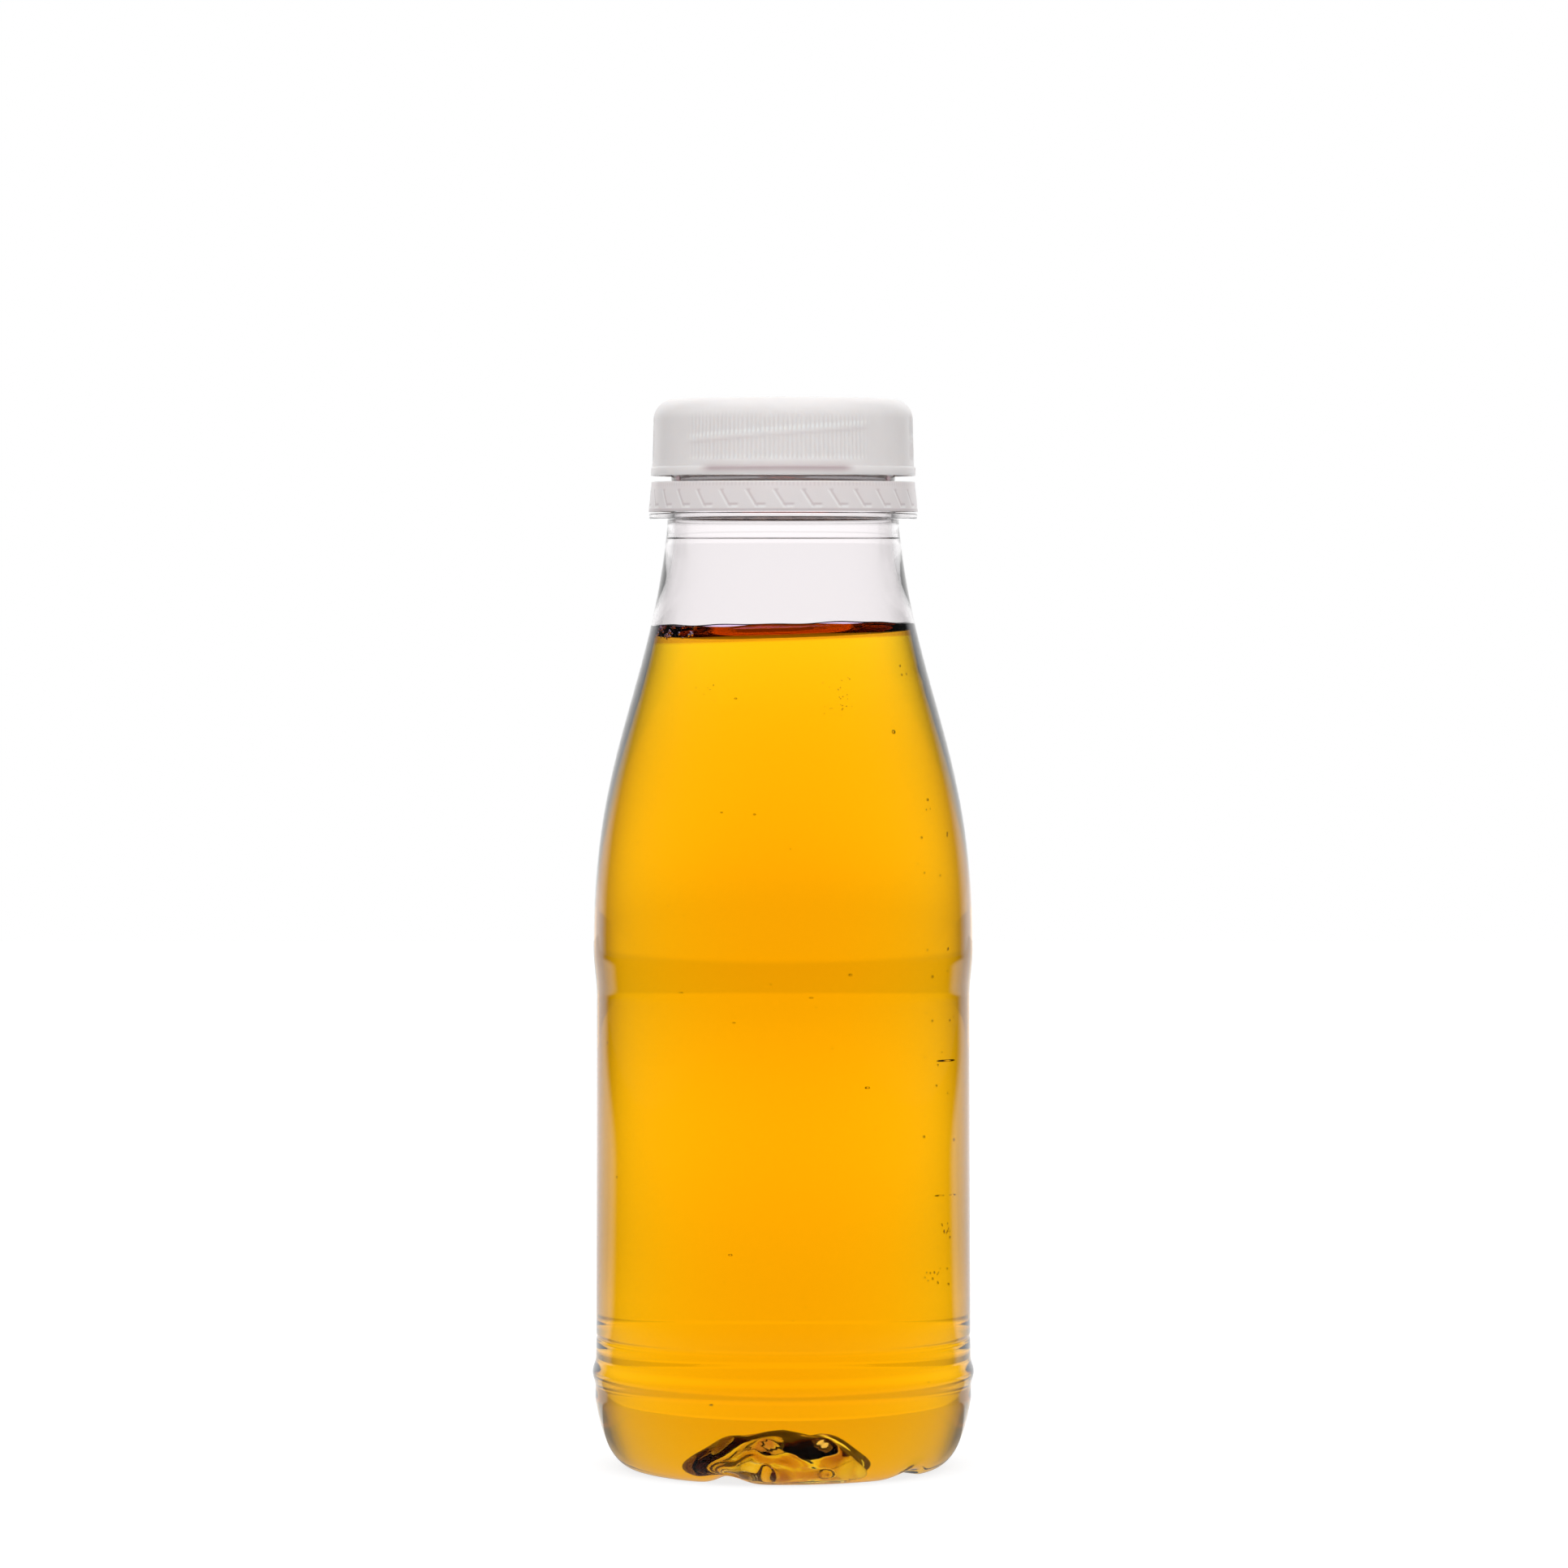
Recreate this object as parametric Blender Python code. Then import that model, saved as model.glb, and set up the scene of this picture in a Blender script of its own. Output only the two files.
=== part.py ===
"""Clear plastic bottle of amber juice with a screw cap and its tamper band.

Metres, +Z up. The origin lies on the bottle's axis at the level it stands on, and
the front of the bottle faces -Y. Angles round the axis are counted from the front,
positive towards +X.
"""

import math

import bmesh
import bpy
from mathutils import Vector

MM = 0.001

# Facets of every turned piece: an even number keeps the piece centred on its axis, and
# a multiple of five puts each foot groove on a column of points
SIDES = 50
WELD = 0.00001

# Body of the bottle
FOOT_INNER_RADIUS = 21.4 * MM
FOOT_OUTER_RADIUS = 24.0 * MM
HEEL_RADIUS = 29.97 * MM
HEEL_TOP = 11.1 * MM
BEAD_RADIUS = 30.39 * MM
BEAD_HEIGHT = 15.3 * MM
BEAD_HALF_WIDTH = 2.3 * MM
PANEL_LOW_RADIUS = 29.82 * MM
PANEL_HIGH_RADIUS = 29.66 * MM
PANEL_TOP = 75.1 * MM
GROOVE_HEIGHT = 21.0 * MM
GROOVE_HALF_WIDTH = 0.7 * MM
GROOVE_DEPTH = 0.12 * MM
BELLY_RADIUS = 30.17 * MM
BELLY_HEIGHT = 84.0 * MM
WAIST_TOP = 82.5 * MM
NECK_RADIUS = 18.4 * MM
NECK_HEIGHT = 149.8 * MM

# Handles of the two curves that shape the heel and the shoulder
HEEL_HANDLE_HIGH = (-0.73 * MM, -4.72 * MM)
HEEL_HANDLE_LOW = (3.82 * MM, 0.84 * MM)
SHOULDER_HANDLE_LOW = (0.0, 29.56 * MM)
SHOULDER_HANDLE_HIGH = (2.63 * MM, -26.09 * MM)

# Underside: a shallow cone with a round push-up in its middle, cut by radial grooves
# into five feet
CONE_HEIGHT = 2.6 * MM
DOME_HEIGHT = 5.8 * MM
DOME_RADIUS = 10.0 * MM
FEET = 5
FIRST_GROOVE_DEG = -20.2
FOOT_GROOVE_HEIGHT = 1.3 * MM
FOOT_GROOVE_HALF_WIDTH = 2.2 * MM
FOOT_GROOVE_START = 7.0 * MM
FOOT_GROOVE_FULL = 12.0 * MM
FOOT_GROOVE_END = 27.6 * MM

# Wall of the bottle
BODY_WALL = 0.5 * MM
BASE_WALL = 0.9 * MM
NECK_WALL = 1.5 * MM
NECK_WALL_START = 136.0 * MM
NECK_WALL_FULL = 147.1 * MM

# Neck finish
BORE_RADIUS = 16.5 * MM
BORE_STEP_HEIGHT = 148.2 * MM
SUPPORT_RING_RADIUS = 21.3 * MM
SUPPORT_RING_LOW = 150.9 * MM
SUPPORT_RING_HIGH = 151.75 * MM
SUPPORT_RING_ROUND = 0.2 * MM
FINISH_RADIUS = 17.8 * MM
LOCK_BEAD_RADIUS = 19.2 * MM
LOCK_BEAD_LOW = 154.5 * MM
LOCK_BEAD_HIGH = 157.3 * MM
LOCK_BEAD_SLOPE = 0.8 * MM
LIP_HEIGHT = 168.0 * MM
LIP_CHAMFER = 0.4 * MM

# Thread: several starts, each a short stretch of one right-hand helix
THREAD_STARTS = 3
THREAD_LEAD = 7.1 * MM
THREAD_SWEEP_DEG = 150.0
THREAD_FIRST_DEG = -75.0
THREAD_LOW = 162.6 * MM
THREAD_CREST_RADIUS = 18.8 * MM
THREAD_ROOT_WIDTH = 2.0 * MM
THREAD_CREST_WIDTH = 0.8 * MM
THREAD_SINK = 0.4 * MM
THREAD_STEPS = 14
THREAD_RUN_OUT = 3

# Juice
JUICE_GAP = 0.35 * MM
JUICE_LEVEL = 132.9 * MM
JUICE_TILT_DEG = 1.6
JUICE_MOULD_TOP = 138.0 * MM

# Screw cap
CAP_TOP = 169.9 * MM
CAP_CROWN = 0.3 * MM
CAP_CORNER = 3.2 * MM
CAP_HIGH_RADIUS = 20.58 * MM
CAP_LOW_RADIUS = 20.78 * MM
CAP_COLLAR_RADIUS = 21.0 * MM
CAP_COLLAR_TOP = 159.0 * MM
CAP_COLLAR_ROUND = 0.15 * MM
CAP_LOW = 157.75 * MM
CAP_INNER_RADIUS = 19.25 * MM
CAP_ROOF = 168.4 * MM
CAP_INNER_CORNER = 0.8 * MM

# Tamper band
BAND_TOP = 156.8 * MM
BAND_LOW = 152.05 * MM
BAND_TOP_RADIUS = 20.9 * MM
BAND_LOW_RADIUS = 21.39 * MM
BAND_WALL = 1.0 * MM
BAND_ROUND = 0.12 * MM
BRIDGE_DEGREES = (54.0, 126.0, 234.0, 306.0)
BRIDGE_WIDTH = 0.8 * MM
BRIDGE_DEPTH = 0.6 * MM
BRIDGE_TOP = 157.4 * MM
BRIDGE_SINK = 0.3 * MM


def clear_scene():
    """Removes whatever objects the scene holds."""
    for thing in list(bpy.data.objects):
        bpy.data.objects.remove(thing, do_unlink=True)


def finish(name, colour, roughness, clearness=0.0):
    """A Principled material with its plain colour, roughness and transmission."""
    made = bpy.data.materials.new(name)
    made.use_nodes = True
    made.diffuse_color = (*colour, 1.0 - 0.7 * clearness)
    shader = made.node_tree.nodes["Principled BSDF"]
    shader.inputs["Base Color"].default_value = (*colour, 1.0)
    shader.inputs["Roughness"].default_value = roughness
    shader.inputs["Metallic"].default_value = 0.0
    shader.inputs["Transmission Weight"].default_value = clearness
    return made


def eased(value, low, high):
    """0 at low, 1 at high, with a level start and end."""
    share = min(max((value - low) / (high - low), 0.0), 1.0)
    return share * share * (3.0 - 2.0 * share)


def mixed(low, high, share):
    """The value that lies this share of the way from low to high."""
    return low + (high - low) * share


def bezier(start, first_handle, last_handle, end, steps):
    """Points of a cubic curve after its start, handles given from their own ends."""
    first = (start[0] + first_handle[0], start[1] + first_handle[1])
    last = (end[0] + last_handle[0], end[1] + last_handle[1])
    made = []
    for step in range(1, steps + 1):
        t = step / steps
        weights = ((1 - t) ** 3, 3 * (1 - t) ** 2 * t, 3 * (1 - t) * t * t, t**3)
        corners = (start, first, last, end)
        made.append(tuple(sum(w * c[k] for w, c in zip(weights, corners)) for k in (0, 1)))
    return made


def round_corner(centre, radius, start_deg, end_deg, steps):
    """Points of an arc in the (radius, height) plane."""
    angles = [math.radians(mixed(start_deg, end_deg, k / steps)) for k in range(steps + 1)]
    return [(centre[0] + radius * math.cos(a), centre[1] + radius * math.sin(a)) for a in angles]


def underside_height(radius):
    """Height of the underside between the feet's grooves: a cone with a dome on it."""
    cone = CONE_HEIGHT * (1.0 - radius / FOOT_INNER_RADIUS)
    dome = math.cos(0.5 * math.pi * min(radius / DOME_RADIUS, 1.0)) ** 2
    return cone + DOME_HEIGHT * dome


def lower_bead(height):
    """Radius of the body between the heel and the label panel, with its round bead."""
    low = HEEL_TOP
    high = GROOVE_HEIGHT - GROOVE_HALF_WIDTH
    plain = mixed(HEEL_RADIUS, PANEL_LOW_RADIUS, (height - low) / (high - low))
    away = min(abs(height - BEAD_HEIGHT) / BEAD_HALF_WIDTH, 1.0)
    peak = mixed(HEEL_RADIUS, PANEL_LOW_RADIUS, (BEAD_HEIGHT - low) / (high - low))
    return plain + (BEAD_RADIUS - peak) * math.cos(0.5 * math.pi * away) ** 2


def waist(height):
    """Radius of the body between the label panel and the belly: one soft step."""
    return mixed(PANEL_HIGH_RADIUS, BELLY_RADIUS, eased(height, PANEL_TOP, WAIST_TOP))


def body_outline(detail):
    """(radius, height) from the middle of the underside up to the neck.

    detail is the number of steps along the shoulder, and the other stretches take
    their share of it.
    """
    half = detail // 2
    radii = [DOME_RADIUS * k / half for k in range(half + 1)]
    radii.append(0.5 * (DOME_RADIUS + FOOT_INNER_RADIUS))
    path = [(r, underside_height(r)) for r in radii]
    path += [(FOOT_INNER_RADIUS, 0.0), (FOOT_OUTER_RADIUS, 0.0)]
    path += bezier(
        (FOOT_OUTER_RADIUS, 0.0), HEEL_HANDLE_LOW, HEEL_HANDLE_HIGH, (HEEL_RADIUS, HEEL_TOP), half + 1
    )
    for k in range(-half + 1, half):
        height = BEAD_HEIGHT + BEAD_HALF_WIDTH * k / (half - 0.5)
        path.append((lower_bead(height), height))
    for side in (-1, 0, 1):
        depth = GROOVE_DEPTH if side == 0 else 0.0
        path.append((PANEL_LOW_RADIUS - depth, GROOVE_HEIGHT + side * GROOVE_HALF_WIDTH))
    path.append((PANEL_HIGH_RADIUS, PANEL_TOP))
    for k in range(1, half):
        height = mixed(PANEL_TOP, WAIST_TOP, k / half)
        path.append((waist(height), height))
    path.append((BELLY_RADIUS, BELLY_HEIGHT))
    path += bezier(
        (BELLY_RADIUS, BELLY_HEIGHT),
        SHOULDER_HANDLE_LOW,
        SHOULDER_HANDLE_HIGH,
        (NECK_RADIUS, NECK_HEIGHT),
        detail,
    )
    return path


def wall_at(height):
    """Thickness of the bottle's wall: more in the base and towards the neck."""
    base = mixed(BASE_WALL, BODY_WALL, eased(height, 0.0, HEEL_TOP))
    return mixed(base, NECK_WALL, eased(height, NECK_WALL_START, NECK_WALL_FULL))


def moved_inwards(path, gap):
    """The path moved into the bottle by its wall and gap, square to the surface."""
    made = []
    for k, (radius, height) in enumerate(path):
        before = path[max(k - 1, 0)]
        after = path[min(k + 1, len(path) - 1)]
        along = Vector((after[0] - before[0], after[1] - before[1])).normalized()
        if radius == 0.0:
            along = Vector((1.0, 0.0))
        depth = wall_at(height) + gap
        made.append((max(radius - along.y * depth, 0.0), height + along.x * depth))
    return made


def foot_groove(radius, angle):
    """How far a radial groove lifts the base at this place, a smooth round channel."""
    spacing = 2.0 * math.pi / FEET
    turned_by = angle - math.radians(FIRST_GROOVE_DEG)
    off_axis = (turned_by + 0.5 * spacing) % spacing - 0.5 * spacing
    across = math.exp(-((radius * off_axis / FOOT_GROOVE_HALF_WIDTH) ** 2))
    inner = eased(radius, FOOT_GROOVE_START, FOOT_GROOVE_FULL)
    outer = 1.0 - eased(radius, FOOT_OUTER_RADIUS, FOOT_GROOVE_END)
    lift = FOOT_GROOVE_HEIGHT * inner * outer * across
    return lift if lift > 0.03 * FOOT_GROOVE_HEIGHT else 0.0


def turned(path, first_deg=0.0, closed=False):
    """A mesh of the (radius, height) path turned once round the axis."""
    start = math.radians(first_deg)
    mesh = bmesh.new()
    points = [mesh.verts.new((r * math.sin(start), -r * math.cos(start), z)) for r, z in path]
    pairs = list(zip(points, points[1:]))
    if closed:
        pairs.append((points[-1], points[0]))
    edges = [mesh.edges.new(pair) for pair in pairs]
    bmesh.ops.spin(
        mesh,
        geom=points + edges,
        cent=(0.0, 0.0, 0.0),
        axis=(0.0, 0.0, 1.0),
        angle=2.0 * math.pi,
        steps=SIDES,
        use_merge=True,
    )
    bmesh.ops.remove_doubles(mesh, verts=mesh.verts, dist=WELD)
    bmesh.ops.recalc_face_normals(mesh, faces=mesh.faces)
    return mesh


def cut_feet(mesh):
    """Lifts the base of a turned body where its radial grooves run."""
    for point in mesh.verts:
        if point.co.z < HEEL_TOP:
            radius = math.hypot(point.co.x, point.co.y)
            angle = math.atan2(point.co.x, -point.co.y)
            point.co.z += foot_groove(radius, angle)


def placed(name, mesh, material):
    """An object of this mesh in the scene, shaded smooth but for its corners."""
    data = bpy.data.meshes.new(name)
    mesh.to_mesh(data)
    mesh.free()
    data.materials.append(material)
    data.shade_smooth()
    data.set_sharp_from_angle(angle=math.radians(35.0))
    made = bpy.data.objects.new(name, data)
    bpy.context.scene.collection.objects.link(made)
    return made


def fused(body, pieces):
    """Joins the pieces to the body with one Boolean union, and removes them."""
    group = bpy.data.collections.new(body.name + "_pieces")
    for piece in pieces:
        bpy.context.scene.collection.objects.unlink(piece)
        group.objects.link(piece)
    bpy.context.scene.collection.children.link(group)
    union = body.modifiers.new("union", "BOOLEAN")
    union.operation = "UNION"
    union.operand_type = "COLLECTION"
    union.collection = group
    bpy.context.view_layer.objects.active = body
    bpy.ops.object.modifier_apply(modifier=union.name)
    for piece in pieces:
        bpy.data.objects.remove(piece, do_unlink=True)
    bpy.data.collections.remove(group)


def neck_finish():
    """(radius, height) of the neck's outside from the support ring to the lip."""
    edge = SUPPORT_RING_ROUND
    return [
        (NECK_RADIUS + edge, SUPPORT_RING_LOW - edge),
        (SUPPORT_RING_RADIUS - edge, SUPPORT_RING_LOW),
        (SUPPORT_RING_RADIUS, SUPPORT_RING_LOW + edge),
        (SUPPORT_RING_RADIUS, SUPPORT_RING_HIGH - edge),
        (SUPPORT_RING_RADIUS - edge, SUPPORT_RING_HIGH),
        (FINISH_RADIUS, SUPPORT_RING_HIGH + edge),
        (FINISH_RADIUS, LOCK_BEAD_LOW),
        (LOCK_BEAD_RADIUS, LOCK_BEAD_LOW + LOCK_BEAD_SLOPE),
        (LOCK_BEAD_RADIUS, LOCK_BEAD_HIGH - LOCK_BEAD_SLOPE),
        (FINISH_RADIUS, LOCK_BEAD_HIGH),
        (FINISH_RADIUS, LIP_HEIGHT - LIP_CHAMFER),
        (FINISH_RADIUS - LIP_CHAMFER, LIP_HEIGHT),
    ]


def bore():
    """(radius, height) of the neck's inside from the lip down to the thin wall."""
    return [
        (BORE_RADIUS + LIP_CHAMFER, LIP_HEIGHT),
        (BORE_RADIUS, LIP_HEIGHT - LIP_CHAMFER),
        (BORE_RADIUS, BORE_STEP_HEIGHT),
    ]


def thread_ridge(name, first_deg, material):
    """One start of the thread: a tapered ridge swept along its helix."""
    mesh = bmesh.new()
    base_radius = FINISH_RADIUS - THREAD_SINK
    rings = []
    for step in range(THREAD_STEPS + 1):
        share = step / THREAD_STEPS
        near_end = min(step, THREAD_STEPS - step) / THREAD_RUN_OUT
        rise = mixed(0.25, 1.0, min(near_end, 1.0))
        crest_radius = mixed(FINISH_RADIUS, THREAD_CREST_RADIUS, rise)
        angle = math.radians(first_deg + THREAD_SWEEP_DEG * share)
        height = THREAD_LOW + THREAD_LEAD * THREAD_SWEEP_DEG / 360.0 * share
        section = [
            (base_radius, -0.5 * THREAD_ROOT_WIDTH),
            (crest_radius, -0.5 * THREAD_CREST_WIDTH),
            (crest_radius, 0.5 * THREAD_CREST_WIDTH),
            (base_radius, 0.5 * THREAD_ROOT_WIDTH),
        ]
        rings.append(
            [
                mesh.verts.new((r * math.sin(angle), -r * math.cos(angle), height + up))
                for r, up in section
            ]
        )
    for low, high in zip(rings, rings[1:]):
        for k in range(4):
            mesh.faces.new((low[k], low[(k + 1) % 4], high[(k + 1) % 4], high[k]))
    mesh.faces.new(rings[0])
    mesh.faces.new(rings[-1])
    bmesh.ops.triangulate(mesh, faces=mesh.faces)
    bmesh.ops.recalc_face_normals(mesh, faces=mesh.faces)
    return placed(name, mesh, material)


def make_bottle(material):
    """The blown bottle: footed base, body, shoulder, support ring, bead and thread."""
    outside = body_outline(9) + neck_finish()
    inside = [p for p in moved_inwards(body_outline(7), 0.0) if p[1] < NECK_WALL_FULL]
    step = (NECK_RADIUS + 0.4 * MM - NECK_WALL, NECK_WALL_FULL)
    wall = outside + bore() + [step] + inside[::-1]
    mesh = turned(wall, FIRST_GROOVE_DEG)
    cut_feet(mesh)
    bottle = placed("bottle", mesh, material)
    ridges = []
    for start in range(THREAD_STARTS):
        first = THREAD_FIRST_DEG + 360.0 * start / THREAD_STARTS
        ridges.append(thread_ridge("thread_" + str(start), first, material))
    fused(bottle, ridges)
    return bottle


def make_juice(material):
    """The juice up to its level, cut off by the plane of its slightly tilted surface."""
    path = moved_inwards(body_outline(7), JUICE_GAP)
    path = [p for p in path if p[1] < JUICE_MOULD_TOP]
    path.append((0.0, path[-1][1]))
    mesh = turned(path, FIRST_GROOVE_DEG)
    cut_feet(mesh)
    tilt = math.radians(JUICE_TILT_DEG)
    cut = bmesh.ops.bisect_plane(
        mesh,
        geom=mesh.verts[:] + mesh.edges[:] + mesh.faces[:],
        plane_co=(0.0, 0.0, JUICE_LEVEL),
        plane_no=(-math.sin(tilt), 0.0, math.cos(tilt)),
        clear_outer=True,
    )
    rim = [item for item in cut["geom_cut"] if isinstance(item, bmesh.types.BMEdge)]
    bmesh.ops.contextual_create(mesh, geom=rim)
    bmesh.ops.recalc_face_normals(mesh, faces=mesh.faces)
    return placed("juice", mesh, material)


def make_cap(material):
    """The hollow screw cap with its rounded top edge and its plain bottom collar."""
    corner_centre = (CAP_HIGH_RADIUS - CAP_CORNER, CAP_TOP - CAP_CORNER)
    inner_corner = (CAP_INNER_RADIUS - CAP_INNER_CORNER, CAP_ROOF - CAP_INNER_CORNER)
    path = [(0.0, CAP_TOP + CAP_CROWN), (0.5 * CAP_HIGH_RADIUS, CAP_TOP + 0.75 * CAP_CROWN)]
    path += round_corner(corner_centre, CAP_CORNER, 90.0, 0.0, 5)
    path += [
        (CAP_LOW_RADIUS, CAP_COLLAR_TOP + CAP_COLLAR_ROUND),
        (CAP_COLLAR_RADIUS, CAP_COLLAR_TOP),
        (CAP_COLLAR_RADIUS, CAP_LOW + CAP_COLLAR_ROUND),
        (CAP_COLLAR_RADIUS - CAP_COLLAR_ROUND, CAP_LOW),
        (CAP_INNER_RADIUS, CAP_LOW),
    ]
    path += round_corner(inner_corner, CAP_INNER_CORNER, 0.0, 90.0, 2)
    path.append((0.0, CAP_ROOF))
    return placed("cap", turned(path), material)


def bridge(name, angle_deg, material):
    """One break-off bridge: a small post that stands on the band."""
    low = BAND_TOP - BRIDGE_SINK
    angle = math.radians(angle_deg)
    radius = BAND_TOP_RADIUS - 0.5 * BAND_WALL
    made = bmesh.new()
    bmesh.ops.create_cube(made, size=1.0)
    bmesh.ops.scale(made, vec=(BRIDGE_WIDTH, BRIDGE_DEPTH, BRIDGE_TOP - low), verts=made.verts)
    bmesh.ops.triangulate(made, faces=made.faces)
    post = placed(name, made, material)
    post.location = (radius * math.sin(angle), -radius * math.cos(angle), 0.5 * (low + BRIDGE_TOP))
    post.rotation_euler.z = angle
    return post


def make_band(material):
    """The tamper band below the cap, slightly flared, with its break-off bridges."""
    edge = BAND_ROUND
    path = [
        (BAND_TOP_RADIUS - edge, BAND_TOP),
        (BAND_TOP_RADIUS, BAND_TOP - edge),
        (BAND_LOW_RADIUS, BAND_LOW + edge),
        (BAND_LOW_RADIUS - edge, BAND_LOW),
        (BAND_LOW_RADIUS - BAND_WALL, BAND_LOW),
        (BAND_TOP_RADIUS - BAND_WALL, BAND_TOP),
    ]
    band = placed("tamper_band", turned(path, closed=True), material)
    posts = []
    for k, angle in enumerate(BRIDGE_DEGREES):
        posts.append(bridge("bridge_" + str(k), angle, material))
    fused(band, posts)
    return band


def main():
    """Builds the bottle, its juice, its cap and its band."""
    clear_scene()
    plastic = finish("clear_plastic", (0.95, 0.95, 0.96), 0.05, 0.95)
    amber = finish("amber_juice", (0.95, 0.42, 0.02), 0.05, 0.8)
    milky = finish("milky_plastic", (0.86, 0.84, 0.83), 0.35)
    make_bottle(plastic)
    make_juice(amber)
    make_cap(milky)
    make_band(milky)


main()
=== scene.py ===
"""Looks of a clear plastic bottle of amber juice with a milky screw cap and its tamper band.

Every size is in millimetres until a mesh is made, when it becomes metres in the frame of
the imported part: +Z up, the origin on the bottle's axis where it stands, the front at -Y.
Angles round the axis start at the front and grow towards +X.
"""

import logging
from dataclasses import dataclass, field
from enum import Enum
from functools import reduce

import bpy
import numpy as np
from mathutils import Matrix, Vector


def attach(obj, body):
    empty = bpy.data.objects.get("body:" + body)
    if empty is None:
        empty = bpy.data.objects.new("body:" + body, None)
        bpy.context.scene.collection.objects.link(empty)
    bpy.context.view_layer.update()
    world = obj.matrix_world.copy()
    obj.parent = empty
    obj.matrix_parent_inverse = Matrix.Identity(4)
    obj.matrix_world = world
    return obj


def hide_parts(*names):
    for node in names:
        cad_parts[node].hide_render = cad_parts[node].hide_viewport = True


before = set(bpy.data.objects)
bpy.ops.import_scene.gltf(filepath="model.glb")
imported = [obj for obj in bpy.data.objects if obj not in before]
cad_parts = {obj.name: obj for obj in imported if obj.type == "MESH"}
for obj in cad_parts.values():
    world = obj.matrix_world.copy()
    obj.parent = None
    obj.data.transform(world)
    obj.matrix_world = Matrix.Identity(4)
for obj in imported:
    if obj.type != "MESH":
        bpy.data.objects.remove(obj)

MM = 0.001
BODY = "root"
LOG = logging.getLogger("juice_bottle")


class Slot(Enum):
    """The record's material slots."""

    CLEAR = "clear_plastic"
    JUICE = "juice"
    CLOSURE = "closure"


def eased(value: np.ndarray, low: float, high: float) -> np.ndarray:
    """Smooth step: 0 at low, 1 at high, with a level start and end.

    Args:
        value: the numbers to ease.
        low: where the step starts.
        high: where it ends.

    Returns:
        3s^2 - 2s^3, where s is the share of the way from low to high, held in 0 to 1.
    """
    share = np.clip((np.asarray(value, float) - low) / (high - low), 0.0, 1.0)
    return share * share * (3.0 - 2.0 * share)


def window(value: np.ndarray, rise: tuple, fall: tuple) -> np.ndarray:
    """One between two smooth steps: up over the first pair of numbers, down over the second."""
    return eased(value, *rise) * (1.0 - eased(value, *fall))


def steps_up(low: float, high: float, count: int) -> np.ndarray:
    """The ends of a number of even steps from low up to high, without low itself."""
    return np.linspace(low, high, count + 1)[1:]


def turns(count: int) -> np.ndarray:
    """Even angles all round the axis."""
    return np.linspace(0.0, 2.0 * np.pi, count, endpoint=False)


def bump(value: np.ndarray, centre: float, half_width: float) -> np.ndarray:
    """A round bump: cosine squared of a quarter turn times the share of the half width."""
    away = np.clip(np.abs(value - centre) / half_width, 0.0, 1.0)
    return np.cos(0.5 * np.pi * away) ** 2


def bezier(
    start: tuple, first_handle: tuple, last_handle: tuple, end: tuple, steps: int
) -> np.ndarray:
    """Points of a cubic curve.

    Args:
        start: first point, as radius and height.
        first_handle: the first handle, counted from the start.
        last_handle: the last handle, counted from the end.
        end: last point.
        steps: how many stretches the curve is cut into.

    Returns:
        steps + 1 points, the sum of the four corners weighted by the cubic Bernstein terms.
    """
    t = np.linspace(0.0, 1.0, steps + 1)[:, None]
    a, d = np.array(start, float), np.array(end, float)
    b, c = a + first_handle, d + last_handle
    return (1 - t) ** 3 * a + 3 * (1 - t) ** 2 * t * b + 3 * (1 - t) * t**2 * c + t**3 * d


def filleted(corners: list, cut: float, steps: int = 4) -> np.ndarray:
    """A path with its inner corners rounded.

    Args:
        corners: the path's corners, as radius and height.
        cut: how far from a corner its rounding starts.
        steps: points in each rounding.

    Returns:
        The end points, and for each corner a quadratic curve whose handle is the corner.
    """
    path = np.array(corners, float)
    at, back, on = path[1:-1], path[:-2] - path[1:-1], path[2:] - path[1:-1]
    long_back = np.linalg.norm(back, axis=1, keepdims=True)
    long_on = np.linalg.norm(on, axis=1, keepdims=True)
    reach = np.minimum(cut, 0.45 * np.minimum(long_back, long_on))
    start = (at + back / long_back * reach)[:, None]
    end = (at + on / long_on * reach)[:, None]
    t = np.linspace(0.0, 1.0, steps)[None, :, None]
    arcs = (1 - t) ** 2 * start + 2 * t * (1 - t) * at[:, None] + t**2 * end
    return np.concatenate([path[:1], arcs.reshape(-1, 2), path[-1:]])


def spaced(path: np.ndarray, spacing: float) -> np.ndarray:
    """The path with points added along its long stretches.

    Args:
        path: points as radius and height.
        spacing: the longest stretch that may stay.

    Returns:
        The path's own points, with even points between any two further apart.
    """
    lengths = np.linalg.norm(np.diff(path, axis=0), axis=1)
    counts = np.maximum(np.ceil(lengths / spacing).astype(int), 1)
    first = np.repeat(np.arange(len(counts)), counts)
    before = np.repeat(np.cumsum(counts) - counts, counts)
    share = (np.arange(counts.sum()) - before) / counts[first]
    made = path[first] + (path[first + 1] - path[first]) * share[:, None]
    return np.concatenate([made, path[-1:]])


def shifted(path: np.ndarray, depth: np.ndarray) -> np.ndarray:
    """The path moved to its left, square to its own direction.

    Args:
        path: points as radius and height.
        depth: how far each point moves.

    Returns:
        Each point plus depth times the path's direction turned a quarter to the left, with
        a first point on the axis kept on it.
    """
    along = np.gradient(path, axis=0)
    along /= np.linalg.norm(along, axis=1, keepdims=True)
    left = np.stack([-along[:, 1], along[:, 0]], axis=1)
    if path[0, 0] == 0.0:
        left[0] = (0.0, 1.0)
    made = path + left * np.asarray(depth)[:, None]
    made[:, 0] = np.maximum(made[:, 0], 0.0)
    return made


def around(radius: np.ndarray, height: np.ndarray, angle: np.ndarray) -> np.ndarray:
    """Points from radius, height and the angle from the front towards +X."""
    radius, height, angle = np.broadcast_arrays(radius, height, angle)
    return np.stack([radius * np.sin(angle), -radius * np.cos(angle), height], axis=-1)


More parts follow.
